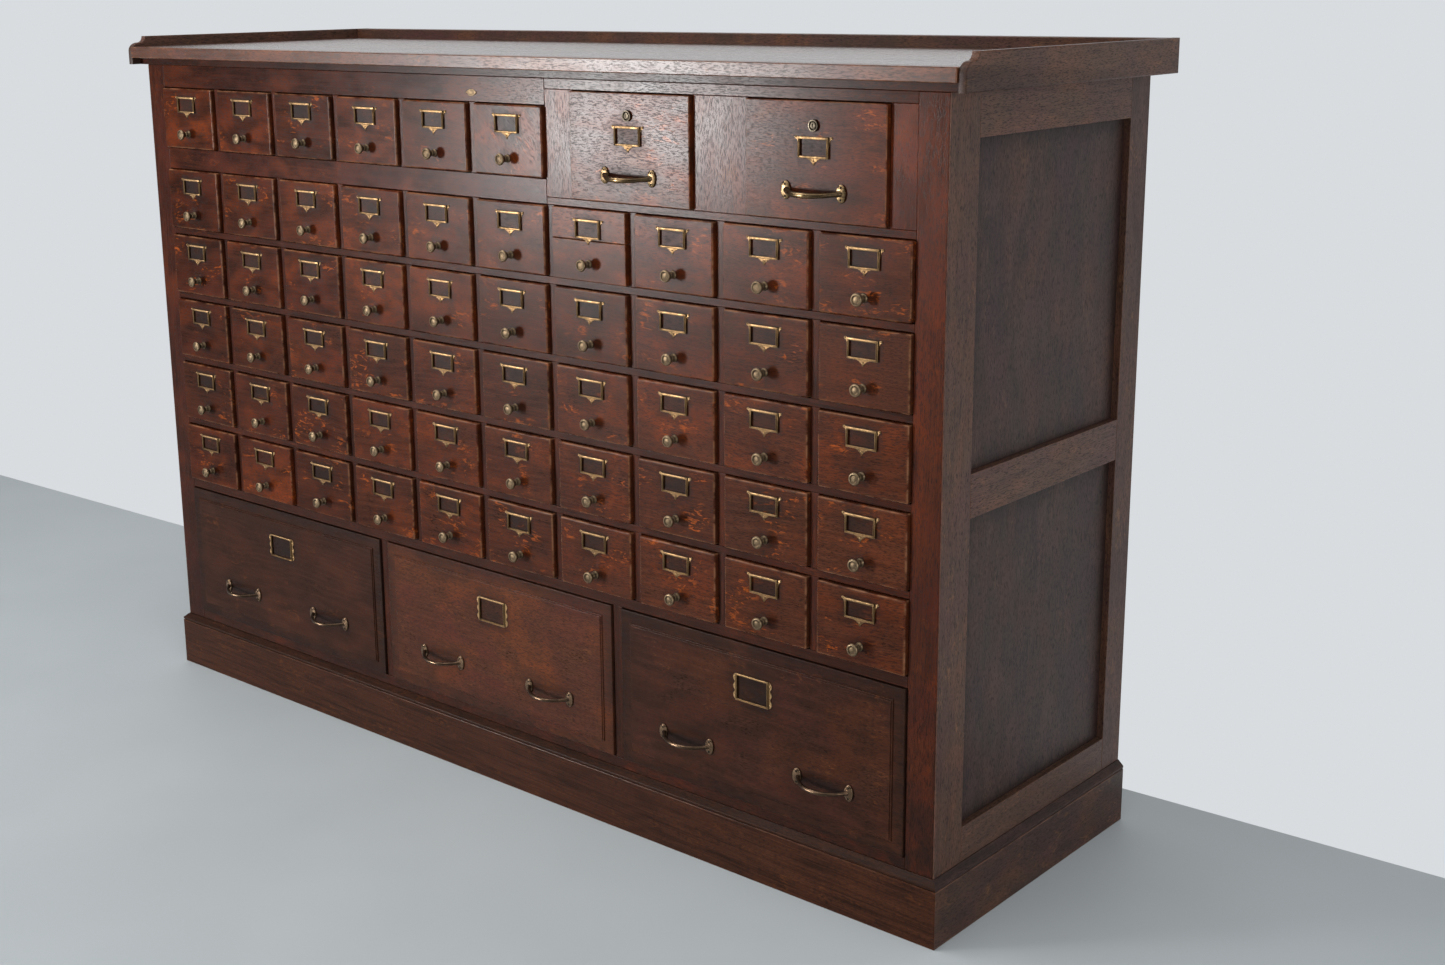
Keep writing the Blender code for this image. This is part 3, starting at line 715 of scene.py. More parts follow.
def add_knob(shells, x, z, plank):
    """Turned knob: a collar, a beaded stem and a dished disc with a ringed rim."""
    profile = [
        (0.0068, -0.0004, 0.1), (0.0068, 0.001, 0.4), (0.006, 0.0019, 0.5), (0.0047, 0.0026, 0.0),
        (0.0041, 0.0048, 0.1), (0.005, 0.006, 0.5), (0.0054, 0.007, 0.8), (0.005, 0.0081, 0.5),
        (0.0043, 0.009, 0.0), (0.005, 0.0112, 0.1), (0.0068, 0.0134, 0.1), (0.0088, 0.015, 0.3),
        (0.0096, 0.0165, 0.6), (0.0097, 0.018, 0.9), (0.0092, 0.0193, 1.0), (0.0082, 0.0201, 1.0),
        (0.0072, 0.0202, 0.5), (0.0065, 0.0193, 0.0), (0.0052, 0.0189, 0.0), (0.0034, 0.0194, 0.3),
        (0.0016, 0.0196, 0.4), (0.0002, 0.0196, 0.4),
    ]
    add_turned(shells, (x, drawer_face, z), profile, plank, slot=GRIP_SLOT)


def add_foot_screw(shells, centre, plank):
    """A countersunk screw: a bright rim round a slightly domed head in shadow metal, which is painted shade
    in the countersink.
    """
    rim = [(0.0034, -0.0008, 0.2), (0.0034, 0.0005, 0.7), (0.003, 0.0008, 1.0),
           (0.0024, 0.0002, 0.1), (0.0002, 0.0001, 0.0)]
    head = [(0.0021, 0.0000, 0.0), (0.002, 0.0004, 0.3), (0.0012, 0.0007, 0.5), (0.0001, 0.0008, 0.5)]
    add_turned(shells, centre, rim, plank, sides=14, slot=GRIP_SLOT)
    add_turned(shells, centre, head, plank, sides=12, slot=SHADOW_SLOT)


def add_handle(shells, x, z, plank, thickness, beaded):
    """A bowed bar on two oval feet, each with two screws; worn bright where it is gripped."""
    foot = [(1.0, -0.0004, 0.1), (1.0, 0.0016, 0.4), (0.94, 0.0026, 1.0), (0.74, 0.003, 0.5),
            (0.05, 0.0034, 0.4)]
    half = HANDLE_SPAN / 2
    for side in (-1, 1):
        end = x + side * half
        add_turned(shells, (end, drawer_face, z), foot, plank, slot=GRIP_SLOT, size=HANDLE_FOOT)
        for rise in (-1, 1):
            add_foot_screw(shells, (end, drawer_face - 0.0026, z + rise * FOOT_SCREW_OFFSET), plank)
    steps = 34
    root = 0.002
    path, radii, wear = [], [], []
    for i in range(steps + 1):
        share = -cos(pi * i / steps)
        rise = 1 - abs(share) ** 2.3
        bead = exp(-(share / 0.055) ** 2) if beaded else 0.0
        depth = root + (HANDLE_REACH - thickness * 1.12 - root) * rise
        path.append((x + (half - 0.0022) * share, drawer_face - depth, z - HANDLE_DROOP * rise))
        radii.append(thickness * (0.72 + 0.28 * rise + 0.5 * (1 - rise) ** 5 + 0.12 * bead))
        wear.append(min(1.0, 0.1 + 0.5 * fall(abs(share), 0.75) + 0.2 * bead))
    add_swept(shells, path, radii, wear, plank, GRIP_SLOT)


def add_lock(shells, x, z, plank):
    """Round lock: a raised ring, a groove, a plug and its key slot."""
    ring = [
        (LOCK_RADIUS, -0.0004, 0.0), (LOCK_RADIUS, 0.0022, 0.1), (0.0082, 0.0032, 0.4),
        (0.007, 0.0034, 0.9), (0.0063, 0.0028, 0.2), (0.006, 0.0012, 0.0), (0.0051, 0.0012, 0.0),
        (0.0048, 0.0026, 0.6), (0.0043, 0.0029, 0.7), (0.003, 0.0029, 0.2), (0.0002, 0.0029, 0.1),
    ]
    add_turned(shells, (x, drawer_face, z), ring, plank, slot=LOCK_SLOT)
    for width, low, high in ((0.0018, 0.0004, 0.0032), (0.0009, -0.0034, 0.001)):
        near = (x - width / 2, drawer_face - 0.0031, z + low)
        far = (x + width / 2, drawer_face - 0.002, z + high)
        plank = Plank("z", 0.0)
        add_board(shells, near, far, plank, bevel=0.0002, pitch=1.0, rim=0.01, slot=SHADOW_SLOT)


# ---- drawers


class Drawer:
    """A drawer's box in the frame, and the body and the CAD node that it belongs to."""

    def __init__(self, name, low, high, body, node):
        self.name, self.low, self.high, self.body, self.node = name, low, high, body, node
        self.x, self.z = (low.x + high.x) / 2, (low.z + high.z) / 2

    def piece(self, title, shells, materials, slot, smooth=False):
        make_piece(f"{self.name}_{title}", shells, materials, self.body, [self.node], smooth)


def front_tone_and_shade(x, z):
    """(tone, stain) of the front: darker and redder toward the top left, lighter and browner toward the
    lower right; the dark at the top left is partly the wood's own and partly painted shade.
    """
    left = 0.5 - 0.5 * x / cad_high.x
    height = z / cad_high.z
    corner = (1 - left) * (1 - height)
    tone = 0.47 - 0.42 * left * (0.5 + 0.5 * height) + 0.38 * corner
    return tone, 0.4 + 0.14 * left + 0.06 * height - 0.16 * corner


def dirt_and_gap_shade(drawer, marks, rim_darkening=0.15, edge_width=0.012):
    """Dirt round the fittings, darkening along the rim of a front, and painted shade on its faces that sit
    back in the frame's opening; marks are (x, z, dx, dz, reach).
    """
    low, high = drawer.low, drawer.high

    def at(point):
        px, py, pz = point
        rim = min(px - low.x, high.x - px, pz - low.z, high.z - pz)
        # Painted shade: the faces that sit back in the frame's opening, and the back, are darkened fully.
        value = rim_darkening * fall(rim, edge_width) if py <= face_y - 0.0012 else 0.9
        for x, z, dx, dz, reach in marks:
            away = hypot(max(0.0, abs(px - x) - dx), max(0.0, abs(pz - z) - dz))
            value = max(value, 0.85 * fall(away, reach))
        return value

    return at


def label_mark(x, top):
    """Dirt round a label holder with its top at this height."""
    return x, top - LABEL_HEIGHT / 2, LABEL_HALF, LABEL_HEIGHT / 2, 0.013


def add_tails(shells, x, low_z, high_z, side):
    """Dovetails that show on a box side, just behind the drawer front."""
    y = front_back + 0.001
    pitch = (high_z - low_z) / TAIL_COUNT
    for i in range(TAIL_COUNT):
        middle = low_z + pitch * (i + 0.5)
        outline = [(y, middle - pitch * 0.16), (y + TAIL_LENGTH, middle - pitch * 0.3),
                   (y + TAIL_LENGTH, middle + pitch * 0.3), (y, middle + pitch * 0.16)]
        plank = Plank("y", 0.15)
        plank.centre = Vector((x, y, middle))
        add_outline(shells, outline, x, side * 0.00035, "x", plank, bevel=0.0001)


def drawer_box(drawer):
    """Open box behind a drawer front: two sides, a back and a floor, with dovetails."""
    shells = Shells()
    x, back = drawer.x, drawer.high.y
    half = (drawer.high.x - drawer.low.x) / 2 - BOX_SETBACK
    bottom, top = drawer.low.z + BOX_SETBACK, drawer.high.z - BOX_TOP_SETBACK
    for side in (-1, 1):
        outer, inner = x + side * half, x + side * (half - BOX_WALL)
        low = (min(outer, inner), front_back, bottom)
        high = (max(outer, inner), back, top)
        add_board(shells, low, high, Plank("y", 0.55), bevel=0.0012, pitch=0.12)
        add_tails(shells, outer, bottom + 0.006, top - 0.006, side)
    inside = half - BOX_WALL + 0.0005
    low = (x - inside, back - BOX_WALL, bottom + 0.0005)
    high = (x + inside, back - 0.0002, top - 0.004)
    add_board(shells, low, high, Plank("x", 0.5), bevel=0.0012, pitch=0.12)
    low = (x - inside, front_back - 0.001, bottom + 0.0025)
    high = (x + inside, back - BOX_WALL + 0.001, bottom + BOX_FLOOR)
    add_board(shells, low, high, Plank("x", 0.45), bevel=0.0006, pitch=0.06, grime_and_shade=lambda p: 0.35)
    drawer.piece("box", shells, [inner_oak], "oak_inner")


def small_front(drawer, marks):
    """Solid front of a small drawer; one of them was split and glued up again."""
    shells = Shells()
    low, high = drawer.low, drawer.high
    tone, stain = front_tone_and_shade(drawer.x, drawer.z)
    tilt = radians(dice.choice((0, 0, 2, -3, 4, -2)))
    if drawer.name == SLANTED_DRAWER:
        tilt = radians(42)
    split = drawer.name == SPLIT_DRAWER
    cuts = [low.z, low.z + SPLIT_SHARE * (high.z - low.z), high.z] if split else [low.z, high.z]
    for bottom, top in zip(cuts, cuts[1:]):
        lift = 0.2 if split and top == high.z else 0.0
        seam = 0.0004 if top < high.z else 0
        add_board(shells, (low.x, drawer_face, bottom), (high.x, front_back, top - seam),
                  Plank("x", tone + lift, stain, tilt), bevel=0.0014 if split else EASED,
                  pitch=0.009, wobble=0.35, grime_and_shade=dirt_and_gap_shade(drawer, marks))
    drawer.piece("front", shells, [front_oak], "oak_front")


def small_drawer(drawer):
    """Small drawer: front, box, and its label holder and knob."""
    x = drawer.x
    top = drawer.high.z - LABEL_BELOW_TOP
    knob_z = drawer.low.z + KNOB_ABOVE_BOTTOM
    small_front(drawer, [label_mark(x, top), (x, knob_z, 0.004, 0.004, 0.024)])
    drawer_box(drawer)
    fittings = Shells()
    label_x, label_top = x + dice.uniform(-0.0006, 0.0006), top + dice.uniform(-0.0006, 0.0006)
    add_shield(fittings, label_x, label_top, Plank("x"))
    add_knob(fittings, x, knob_z, Plank("x"))
    drawer.piece("fittings", fittings, [label_brass, knob_brass], "brass_label", smooth=True)


def lock_drawer(drawer):
    """Lockable drawer: front, box, and its lock, label holder and handle."""
    x, low, high = drawer.x, drawer.low, drawer.high
    lock_z = high.z - LOCK_BELOW_TOP
    top = lock_z - LABEL_BELOW_TOP
    handle_z = drawer.z - LOCK_HANDLE_DROP
    marks = [label_mark(x, top), (x, lock_z, 0.006, 0.006, 0.014),
             (x, handle_z, HANDLE_SPAN / 2, 0.004, 0.022)]
    shells = Shells()
    plank = Plank("x", *front_tone_and_shade(x, drawer.z))
    add_board(shells, (low.x, drawer_face, low.z), (high.x, front_back, high.z), plank,
              bevel=0.0016, pitch=0.01, wobble=0.35, grime_and_shade=dirt_and_gap_shade(drawer, marks))
    drawer.piece("front", shells, [front_oak], "oak_front")
    drawer_box(drawer)
    fittings = Shells()
    add_shield(fittings, x, top, Plank("x"))
    add_lock(fittings, x, lock_z, Plank("x", 0.9))
    add_handle(fittings, x, handle_z, Plank("x"), 0.0042, beaded=True)
    metals = [label_brass, handle_bronze, shadow_metal, lock_steel]
    drawer.piece("fittings", fittings, metals, "brass_handle", smooth=True)


def file_drawer(drawer):
    """File drawer: a stepped field on the front, a box, a label holder and two handles."""
    x, low, high = drawer.x, drawer.low, drawer.high
    label_z = drawer.z + FILE_LABEL_ABOVE
    handle_z = drawer.z - FILE_HANDLE_DROP
    handles = [x + side * FILE_HANDLE_OFFSET for side in (-1, 1)]
    marks = [(x, label_z, *FILE_LABEL_HALF, 0.02)]
    marks += [(place, handle_z, HANDLE_SPAN / 2, 0.004, 0.03) for place in handles]
    grime_and_shade = dirt_and_gap_shade(drawer, marks, 0.75, 0.045)
    shells = Shells()
    plank = Plank("x", 0.58 - 0.75 * abs(x), 0.62 - 0.45 * abs(x))
    for inset, proud, bevel in (
        (0.0, BORDER_PROUD, 0.0012),
        (FIELD_BORDER, FRONT_PROUD - 0.0016, 0.0008),
        (FIELD_BORDER + FIELD_LEDGE, FRONT_PROUD, 0.0009),
    ):
        near = (low.x + inset, face_y - proud, low.z + inset)
        far = (high.x - inset, face_y + 0.003 if inset else front_back, high.z - inset)
        add_board(shells, near, far, plank, bevel=bevel, pitch=0.016, wobble=0.3, grime_and_shade=grime_and_shade)
    drawer.piece("front", shells, [file_oak], "oak_front")
    drawer_box(drawer)
    fittings = Shells()
    add_file_holder(fittings, x, label_z, Plank("x"))
    for place in handles:
        add_handle(fittings, place, handle_z, Plank("x"), 0.0032, beaded=False)
    metals = [label_brass, file_bronze, shadow_metal]
    drawer.piece("fittings", fittings, metals, "brass_handle", smooth=True)


def make_drawers():
    """The drawers that slide, and the ten of the lowest small row, which is one CAD node."""
    drawers = [Drawer(name, *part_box(name), name, name) for name in frame["bodies"] if name != "carcass"]
    small = [drawer for drawer in drawers if drawer.name.startswith("drawer_")]
    for drawer in small:
        small_drawer(drawer)
    for above in small:
        if "_r4_" in above.name:
            low = Vector((above.low.x, above.low.y, row_low.z))
            high = Vector((above.high.x, above.high.y, row_high.z))
            small_drawer(Drawer(above.name.replace("_r4_", "_r5_"), low, high, "carcass", JOINED_ROW))
    for drawer in drawers:
        if drawer.name.startswith("lock_"):
            lock_drawer(drawer)
        elif drawer.name.startswith("file_"):
            file_drawer(drawer)


# ---- carcass


def cell(name):
    """The opening that a drawer's front fills in the face frame: (x0, x1, z0, z1)."""
    low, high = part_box(name)
    return low.x - FRONT_GAP, high.x + FRONT_GAP, low.z - FRONT_GAP, high.z + FRONT_GAP


def frame_darkening(point):
    """The face frame gets darker low down and toward the right corner."""
    right = max(0.0, min(1.0, (point[0] - 0.6) / 0.3))
    return (0.7 + 0.3 * right) * fall(point[2] - 0.1, 1.15)


def frame_strip(shells, x0, x1, z0, z1, axis, depth=0.0, warmth=0.0):
    """One member of the face frame, with a hair's joint at its ends."""
    # The frame members get the fronts' tone, with its painted shade toward the top left.
    tone, stain = front_tone_and_shade((x0 + x1) / 2, (z0 + z1) / 2)
    plank = Plank(axis, tone + 0.25 * warmth - 0.02, stain + warmth)
    dx, dz = (JOINT, 0) if axis == "x" else (0, JOINT)
    low, high = (x0 + dx, face_y + depth, z0 + dz), (x1 - dx, face_y + BOARD, z1 - dz)
    add_board(shells, low, high, plank, bevel=0.0007, pitch=0.04, rim=0.002, wobble=0.2, grime_and_shade=frame_darkening)


def make_face_frame():
    """Stiles, rails and muntins of the front, each its own board."""
    low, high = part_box("face_frame")
    cells = [[cell(f"drawer_r{row}_c{column:02d}") for column in range(1, 11)] for row in range(1, 5)]
    cells.append([(x0, x1, row_low.z - FRONT_GAP, row_high.z + FRONT_GAP) for x0, x1, _, _ in cells[-1]])
    top_cells = [cell(f"drawer_top_c{column:02d}") for column in range(1, 7)]
    locks = [cell(f"lock_drawer_{place}") for place in ("left", "right")]
    files = [cell(f"file_drawer_{place}") for place in ("left", "middle", "right")]
    left, right, split = cells[0][0][0], cells[0][-1][1], top_cells[-1][1]

    stiles, rails, muntins = Shells(), Shells(), Shells()
    frame_strip(stiles, low.x + CORNER_SKIN, left, low.z, high.z, "z")
    frame_strip(stiles, right, high.x - CORNER_SKIN, low.z, high.z, "z", warmth=0.3)

    frame_strip(rails, left, split, top_cells[0][3], high.z, "x")
    frame_strip(rails, split, right, locks[0][3], high.z, "x")
    frame_strip(rails, left, split, cells[0][0][3], top_cells[0][2], "x")
    frame_strip(rails, split, right, cells[0][0][3], locks[0][2], "x")
    for upper, lower in zip(cells, cells[1:] + [files]):
        frame_strip(rails, left, right, lower[0][3], upper[0][2], "x")
    frame_strip(rails, left, right, low.z, files[0][2], "x")

    for row in cells + [top_cells, files]:
        for first, second in zip(row, row[1:]):
            frame_strip(muntins, first[1], second[0], first[2], first[3], "z", 0.0003)
    for x0, x1 in ((split, locks[0][0]), (locks[0][1], locks[1][0]), (locks[1][1], right)):
        frame_strip(muntins, x0, x1, locks[0][2], locks[0][3], "z", 0.0002, warmth=0.4)
    for title, shells in (("frame_stiles", stiles), ("frame_rails", rails), ("frame_muntins", muntins)):
        carcass_piece(title, shells, frame_oak, "face_frame")


def make_side(node, hand):
    """Frame-and-panel side: stiles, rails and two sunk panels."""
    low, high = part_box(node)
    outer, inner = (high.x, low.x) if hand > 0 else (low.x, high.x)
    front, back = face_y + FRONT_STILE, high.y - BACK_STILE
    skin = outer - hand * CORNER_SKIN

    def board(shells, near, far, y0, y1, z0, z1, axis, tone, stain, grime_and_shade=None):
        add_board(shells, (min(near, far), y0, z0), (max(near, far), y1, z1), Plank(axis, tone, stain),
                  pitch=0.03, wobble=0.15, grime_and_shade=grime_and_shade)

    stiles, rails, panels = Shells(), Shells(), Shells()
    board(stiles, outer, skin, face_y, front, low.z, high.z, "z", 0.55, 0.45)
    board(stiles, skin + hand * JOINT, inner, low.y, front, low.z, high.z, "z", 0.55, 0.45)
    board(stiles, outer, inner, back, high.y, low.z, high.z, "z", 0.4, 0.15)
    middle = (MIDDLE_RAIL_CENTRE - MIDDLE_RAIL / 2, MIDDLE_RAIL_CENTRE + MIDDLE_RAIL / 2)
    bottom = (low.z, low.z + BOTTOM_RAIL)
    top = (high.z - TOP_RAIL, high.z)
    for z0, z1 in (bottom, middle, top):
        board(rails, outer, inner, front + JOINT, back - JOINT, z0, z1, "y", 0.6, 0.35)
    for z0, z1 in ((bottom[1], middle[0]), (middle[1], top[0])):
        # Painted shade in the recess: each sunk panel darkens within 5 cm of the stiles and rails round it.
        rim = lambda p: 0.75 * fall(min(p[1] - front, back - p[1], p[2] - z0, z1 - p[2]), 0.05)
        ground = outer - hand * PANEL_RECESS
        board(panels, ground, inner, front, back, z0, z1, "z", 0.45, 0.25, rim)
    carcass_piece(f"{node}_stiles", stiles, side_oak, node)
    carcass_piece(f"{node}_rails", rails, side_oak, node)
    carcass_piece(f"{node}_panels", panels, panel_oak, node)


def mitred_length(shells, profile, corners, plank, grime_and_shade):
    """A moulding between two mitred corners; profile is (out, height, wear)."""
    (start, start_out), (end, end_out) = corners
    span = Vector(end) - Vector(start)
    steps = max(2, round(span.length / 0.04))
    plank.centre = (Vector(start) + Vector(end)) / 2
    rings, edges = [], []
    for i in range(steps + 1):
        share = i / steps
        base = Vector(start) + span * share
        shift = Vector(start_out) * (1 - share) + Vector(end_out) * share
        ring = []
        for out, z, wear in profile:
            wobble = 0.00018 * noise.noise(Vector((base.x * 30, base.y * 30, z * 60))) * (wear > 0)
            ring.append(base + shift * (out - wobble) + Vector((0, 0, z)))
            edges.append(wear)
        rings.append(ring)
    add_lofted(shells, rings, plank, edges, grime_and_shade=grime_and_shade)


def eased_outline(corners, bevel, rim=0.002, wear=1.0):
    """A closed outline with every corner cut, as (out, z, wear)."""
    points = []
    count = len(corners)
    reaches = (rim + bevel, bevel, 0.3 * bevel)
    for i, corner in enumerate(corners):
        before = Vector(corners[i - 1]) - Vector(corner)
        after = Vector(corners[(i + 1) % count]) - Vector(corner)
        for side, reach in [(before, r) for r in reaches] + [(after, r) for r in reaches[::-1]]:
            place = Vector(corner) + side.normalized() * min(reach, side.length * 0.45)
            if reach < bevel:
                place += (before.normalized() + after.normalized()) * 0.12 * bevel
            points.append((place.x, place.y, 0.0 if reach > bevel else wear))
    return points


def make_plinth():
    """Plinth boards with mitred corners, the bevelled moulding on them, and the deck."""
    low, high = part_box("plinth")
    x, back = high.x - PLINTH_PROJECTION, high.y
    out, inner = PLINTH_PROJECTION, PLINTH_PROJECTION - BOARD
    shoulder, nose = PLINTH_SHOULDER, PLINTH_SHOULDER + 0.0036
    joint = shoulder - 0.0013
    left_mitre, right_mitre = ((-x, face_y, 0), (-1, -1, 0)), ((x, face_y, 0), (1, -1, 0))
    lines = {
        "front": (left_mitre, right_mitre),
        "left": (((-x, back, 0), (-1, 0, 0)), left_mitre),
        "right": (right_mitre, ((x, back, 0), (1, 0, 0))),
    }
    wall = [(inner, 0.0), (out, 0.0), (out, joint), (inner, joint)]
    cap = [(inner, joint), (out - 0.0022, joint), (out - 0.0022, shoulder), (out, shoulder), (out, nose),
           (0.0005, high.z), (inner, high.z)]
    # Painted shade on the plinth boards: along the floor and under the moulding's nose.
    plinth_wall_shade = lambda p: 0.15 * fall(p[2], 0.02) + 0.4 * fall(high.z - p[2], 0.03)
    parts = (("plinth", eased_outline(wall, 0.0015), plinth_wall_shade),
             ("plinth_moulding", eased_outline(cap, 0.0005, 0.001, 0.5), lambda p: 0.65))
    for place, corners in lines.items():
        wood, grain = (plinth_oak, ("x", 0.5, 0.3)) if place == "front" else (side_oak, ("y", 0.12, 0.35))
        for title, outline, grime_and_shade in parts:
            shells = Shells()
            mitred_length(shells, outline, corners, Plank(*grain), grime_and_shade)
            carcass_piece(f"{title}_{place}", shells, wood, "plinth", smooth=True)
    shells = Shells()
    edge, under = x - DECK_INSET, high.z - PLINTH_DECK
    add_board(shells, (-edge, back - BOARD, 0.0), (edge, back - 0.0002, under), Plank("x", 0.4), pitch=0.08)
    depth = (back - face_y - 2 * DECK_INSET) / DECK_PLANKS
    for i in range(DECK_PLANKS):
        y = face_y + DECK_INSET + i * depth
        low, far = (-edge, y + 0.0004, under), (edge, y + depth - 0.0004, high.z - 0.0004)
        add_board(shells, low, far, Plank("x", 0.4), pitch=0.1)
    carcass_piece("plinth_deck", shells, inner_oak, "plinth")


def make_back():
    """Back of upright boards, with a thin sheet inside that closes their gaps."""
    low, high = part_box("back_panel")
    shells = Shells()
    width = (high.x - low.x) / BACK_BOARDS
    for i in range(BACK_BOARDS):
        x = low.x + i * width
        plank = Plank("z", 0.35 + 0.25 * dice.random())
        add_board(shells, (x + 0.0004, low.y + 0.003, low.z), (x + width - 0.0004, high.y, high.z), plank,
                  bevel=0.0018, pitch=0.06, rim=0.004, grime_and_shade=lambda p: 0.45 * fall(p[2] - low.z, 0.25))
    add_board(shells, low, (high.x, low.y + 0.0028, high.z), Plank("z", 0.2), pitch=0.3)
    carcass_piece("back_boards", shells, inner_oak, "back_panel")


def make_top():
    """Top of glued planks behind a front lipping, and the fillet under it."""
    low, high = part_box("top_board")
    band_low = high.z - TOP_BAND
    planks, lipping, fillet = Shells(), Shells(), Shells()
    depth = (high.y - low.y - TOP_LIPPING) / TOP_PLANKS
    for i in range(TOP_PLANKS):
        y = low.y + TOP_LIPPING + i * depth
        far = (high.x, y + depth - 0.0001, high.z)
        add_board(planks, (low.x, y + 0.0001, band_low), far, Plank("x", 0.5, 0.35), bevel=0.0003)
    far = (high.x, low.y + TOP_LIPPING - 0.0001, high.z)
    add_board(lipping, (low.x, low.y, band_low), far, Plank("x", 0.55, 0.5), bevel=0.0016,
              pitch=0.03, wobble=0.3)
    # Painted shade under the top's overhang: the fillet has a dark tone and an even darkening.
    far = (high.x, high.y, band_low - 0.0002)
    add_board(fillet, (low.x, face_y - 0.003, low.z), far, Plank("x", 0.22, 0.2), bevel=0.001,
              grime_and_shade=lambda p: 0.35)
    carcass_piece("top_planks", planks, top_oak, "top_board")
    carcass_piece("top_lipping", lipping, top_front_oak, "top_board")
    carcass_piece("top_fillet", fillet, frame_oak, "top_board")


def ogee(low, high):
    """Side view of a gallery board as (y, z): a nose, a cove up to the top edge, and the back."""
    cove_y, cove_z = low.y + GALLERY_NOSE, high.z - COVE_RADIUS
    nose_z = cove_z - NOSE_DROP
    steps = 8
    quarter = [pi / 2 * i / steps for i in range(1, steps + 1)]
    points = [(low.y, low.z), (low.y, nose_z)]
    points += [(cove_y - GALLERY_NOSE * cos(a), nose_z + NOSE_DROP * sin(a)) for a in quarter]
    points += [(cove_y + COVE_RADIUS * sin(a), high.z - COVE_RADIUS * cos(a)) for a in quarter]
    return points + [(high.y, high.z), (high.y, low.z)]


def gallery_board(name, low, high, x0, x1):
    """End board of the gallery, with a moulded nose and eased edges."""
    bm = bmesh.new()
    face = bm.faces.new([bm.verts.new((x0, y, z)) for y, z in ogee(low, high)])
    grown = bmesh.ops.extrude_face_region(bm, geom=[face])["geom"]
    moved = [v for v in grown if isinstance(v, bmesh.types.BMVert)]
    bmesh.ops.translate(bm, vec=(x1 - x0, 0, 0), verts=moved)
    rims = [e for e in bm.edges if abs(e.verts[0].co.x - e.verts[1].co.x) < 1e-9]
    bmesh.ops.bevel(bm, geom=rims, offset=0.0011, segments=2, profile=0.5, affect="EDGES")
    big = [f for f in bm.faces if len(f.verts) > 8]
    bmesh.ops.inset_region(bm, faces=big, thickness=0.002, use_even_offset=True)
    inner = {v for f in bm.faces if len(f.verts) > 8 for v in f.verts}
    bm.verts.index_update()
    points = [v.co.copy() for v in bm.verts]
    edges = [0.0 if v in inner else 0.3 for v in bm.verts]
    faces = [[v.index for v in f.verts] for f in bm.faces]
    bm.free()
    shells = Shells()
    plank = Plank("y", 0.62, 0.36)
    plank.centre = Vector(((x0 + x1) / 2, (low.y + high.y) / 2, (low.z + high.z) / 2))
    # Painted shade on the front end of each board, darkening over its first 3 cm.
    shells.add(points, faces, plank, edges, grime_and_shade=lambda p: 0.8 * fall(p[1] - low.y, 0.03))
    carcass_piece(name, shells, side_oak, "gallery", smooth=True)


def make_gallery():
    """Two end boards and the rail along the back of the top."""
    low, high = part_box("gallery")
    gallery_board("gallery_left", low, high, low.x, low.x + GALLERY_THICKNESS)
    gallery_board("gallery_right", low, high, high.x - GALLERY_THICKNESS, high.x)
    shells = Shells()
    inset = GALLERY_THICKNESS + JOINT
    far = (high.x - inset, high.y - 0.0002, high.z - 0.0002)
    add_board(shells, (low.x + inset, high.y - GALLERY_RAIL, low.z), far, Plank("x", 0.35, 0.45),
              bevel=0.0013, pitch=0.04, wobble=0.25)
    carcass_piece("gallery_back", shells, side_oak, "gallery")


def make_row_rail():
    """Rail that joins the boxes of the lowest small row."""
    middle = (row_low.z + row_high.z) / 2
    near = (row_low.x + BOX_WALL, row_high.y - 0.0125, middle - 0.03)
    far = (row_high.x - BOX_WALL, row_high.y, middle + 0.021)
    shells = Shells()
    add_board(shells, near, far, Plank("x", 0.5), bevel=0.001, pitch=0.1)
    carcass_piece("row_5_rail", shells, inner_oak, JOINED_ROW)


def make_plate():
    """Small blank brass plate on the top rail."""
    before, after = cell("drawer_top_c05"), cell("drawer_top_c06")
    x = (before[1] + after[0]) / 2
    z = (before[3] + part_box("face_frame")[1].z) / 2 - 0.006
    shells = Shells()
    plank = Plank("x", 0.5)
    profile = [(1.0, -0.0003, 0.3), (1.0, 0.0004, 1.0), (0.9, 0.0008, 1.0), (0.75, 0.0006, 0.2),
               (0.05, 0.0008, 0.4)]
    add_turned(shells, (x, face_y, z), profile, plank, size=PLATE_HALF)
    for side in (-1, 1):
        add_screw(shells, (x + side * 0.0105, face_y, z), 0.0022, plank)
    make_piece("blank_plate", shells, [knob_brass], "carcass", (), smooth=True)


def finish_grid():
    """The divider grid is hidden behind the drawers: it keeps its CAD mesh and gets a wood."""
    grid = frame["nodes"]["divider_grid"]
    grid.data.materials.clear()
    grid.data.materials.append(grid_oak)


# ---- stage


def make_floor():
    """Plain pale floor, painted darker far out as painted shade where the light falls off, that ends just
    behind the cabinet.
    """
    reach = FLOOR_REACH
    rear = [FLOOR_REAR + FLOOR_SKEW * x for x in (reach, -reach)]
    corners = [(-reach, -reach, 0), (reach, -reach, 0), (reach, rear[0], 0), (-reach, rear[1], 0)]
    mesh = bpy.data.meshes.new("floor")
    mesh.from_pydata(corners, [], [(0, 1, 2, 3)])
    floor = put_in_scene("floor", mesh)
    material, t = new_material("floor_paint")
    place = t.add("ShaderNodeTexCoord").outputs["Object"]
    cloud = t.noise(place, (1.3, 1.3, 1.3), 3.0, 0.6)
    paint = t.mix(t.fit(cloud, 0.3, 0.7), (0.5, 0.54, 0.555), (0.54, 0.58, 0.595))
    # Painted shade: the paint darkens between 3 m and 6 m out, where the light falls off.
    paint = t.mix(t.fit(t.length(place), 3.0, 6.0), paint, (0.2, 0.215, 0.225))
    t.fill(t.shader, Base_Color=paint, Roughness=0.55)
    mesh.materials.append(material)


def make_light(name, place, aim, size, power):
    """Soft rectangular light."""
    data = bpy.data.lights.new(name, "AREA")
    data.shape = "RECTANGLE"
    data.size, data.size_y = size
    data.energy = power
    light = put_in_scene(name, data)
    light.location = place
    light.rotation_euler = (Vector(aim) - Vector(place)).to_track_quat("-Z", "Y").to_euler()


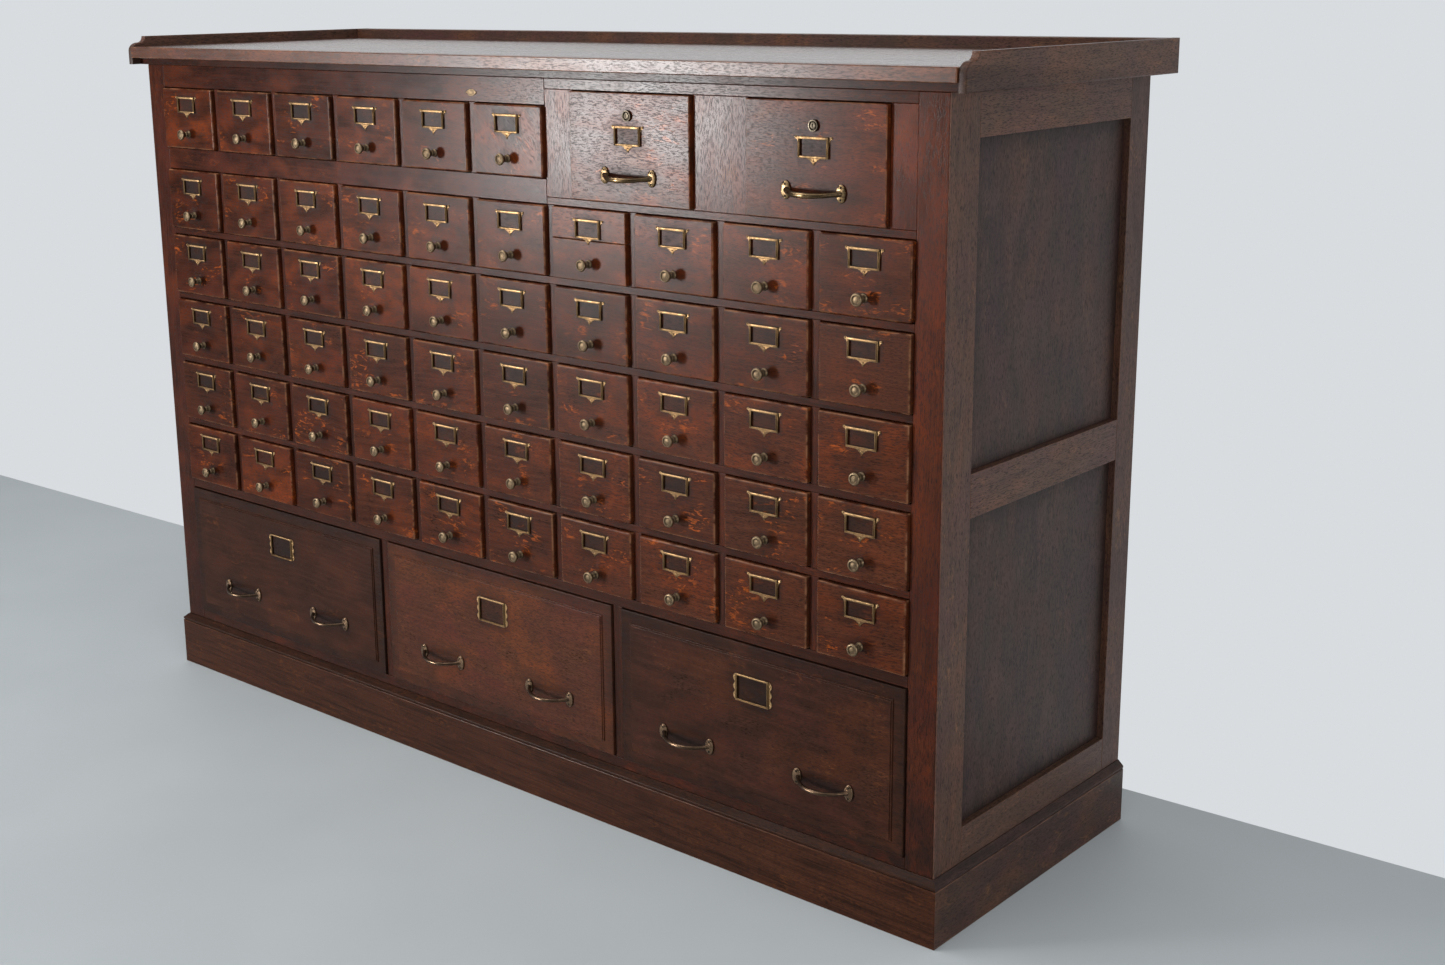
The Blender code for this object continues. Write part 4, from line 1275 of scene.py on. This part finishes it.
def make_world():
    """Pale surroundings: bright behind the cabinet and overhead, dim in front of it."""
    world = bpy.data.worlds.new("studio")
    t = Tree(world)
    _, behind, up = t.split(t.add("ShaderNodeTexCoord").outputs["Generated"])
    around = t.fit(behind, -0.1, 0.08, 0.08, 0.74)
    above = t.fit(up, 0.1, 0.75)
    strength = t.fill(t.add("ShaderNodeMix"), Factor=above, A=around, B=0.35)
    t.fill(t.shader, Strength=strength, Color=(0.93, 0.965, 1.0, 1.0))
    bpy.context.scene.world = world


def make_camera():
    """Camera at eye height, off the front right corner."""
    data = bpy.data.cameras.new("camera")
    data.sensor_width = 36.0
    data.lens = CAMERA_LENS
    data.shift_x, data.shift_y = CAMERA_SHIFT
    data.clip_end = 100
    camera = put_in_scene("camera", data)
    turn = Matrix.Rotation(-CAMERA_YAW, 4, "Z") @ Matrix.Rotation(pi / 2 + CAMERA_PITCH, 4, "X")
    camera.matrix_world = Matrix.Translation(CAMERA_PLACE) @ turn @ Matrix.Rotation(CAMERA_ROLL, 4, "Z")
    bpy.context.scene.camera = camera


make_drawers()
make_face_frame()
make_side("side_left", -1)
make_side("side_right", 1)
make_plinth()
make_back()
make_top()
make_gallery()
make_row_rail()
make_plate()
finish_grid()

make_camera()
make_floor()
make_world()
make_light("window", (-4.78, -5.95, 0.66), (0.3, -0.3, 1.0), (1.15, 0.8), 385)
make_light("key", (-3.6, -4.6, 2.5), (0.2, -0.3, 0.7), (1.4, 1.4), 50)
make_light("lamp", (-1.1, -0.9, 2.8), (0.3, -0.2, 0.8), (1.2, 0.8), 20)
make_light("ceiling", (0.8, -1.3, 3.2), (0.6, -0.4, 0.6), (3.2, 2.4), 34)
make_light("room", (4.3, -2.9, 0.95), (0.0, -0.3, 0.85), (2.2, 1.5), 60)
make_light("side", (4.2, -0.2, 1.4), (0.9, 0.0, 0.7), (1.6, 1.6), 8)
make_light("sky", (-3.4, 3.9, 2.7), (0.0, 0.0, 1.27), (4.0, 1.2), 12)
bpy.context.scene.view_settings.view_transform = "Standard"
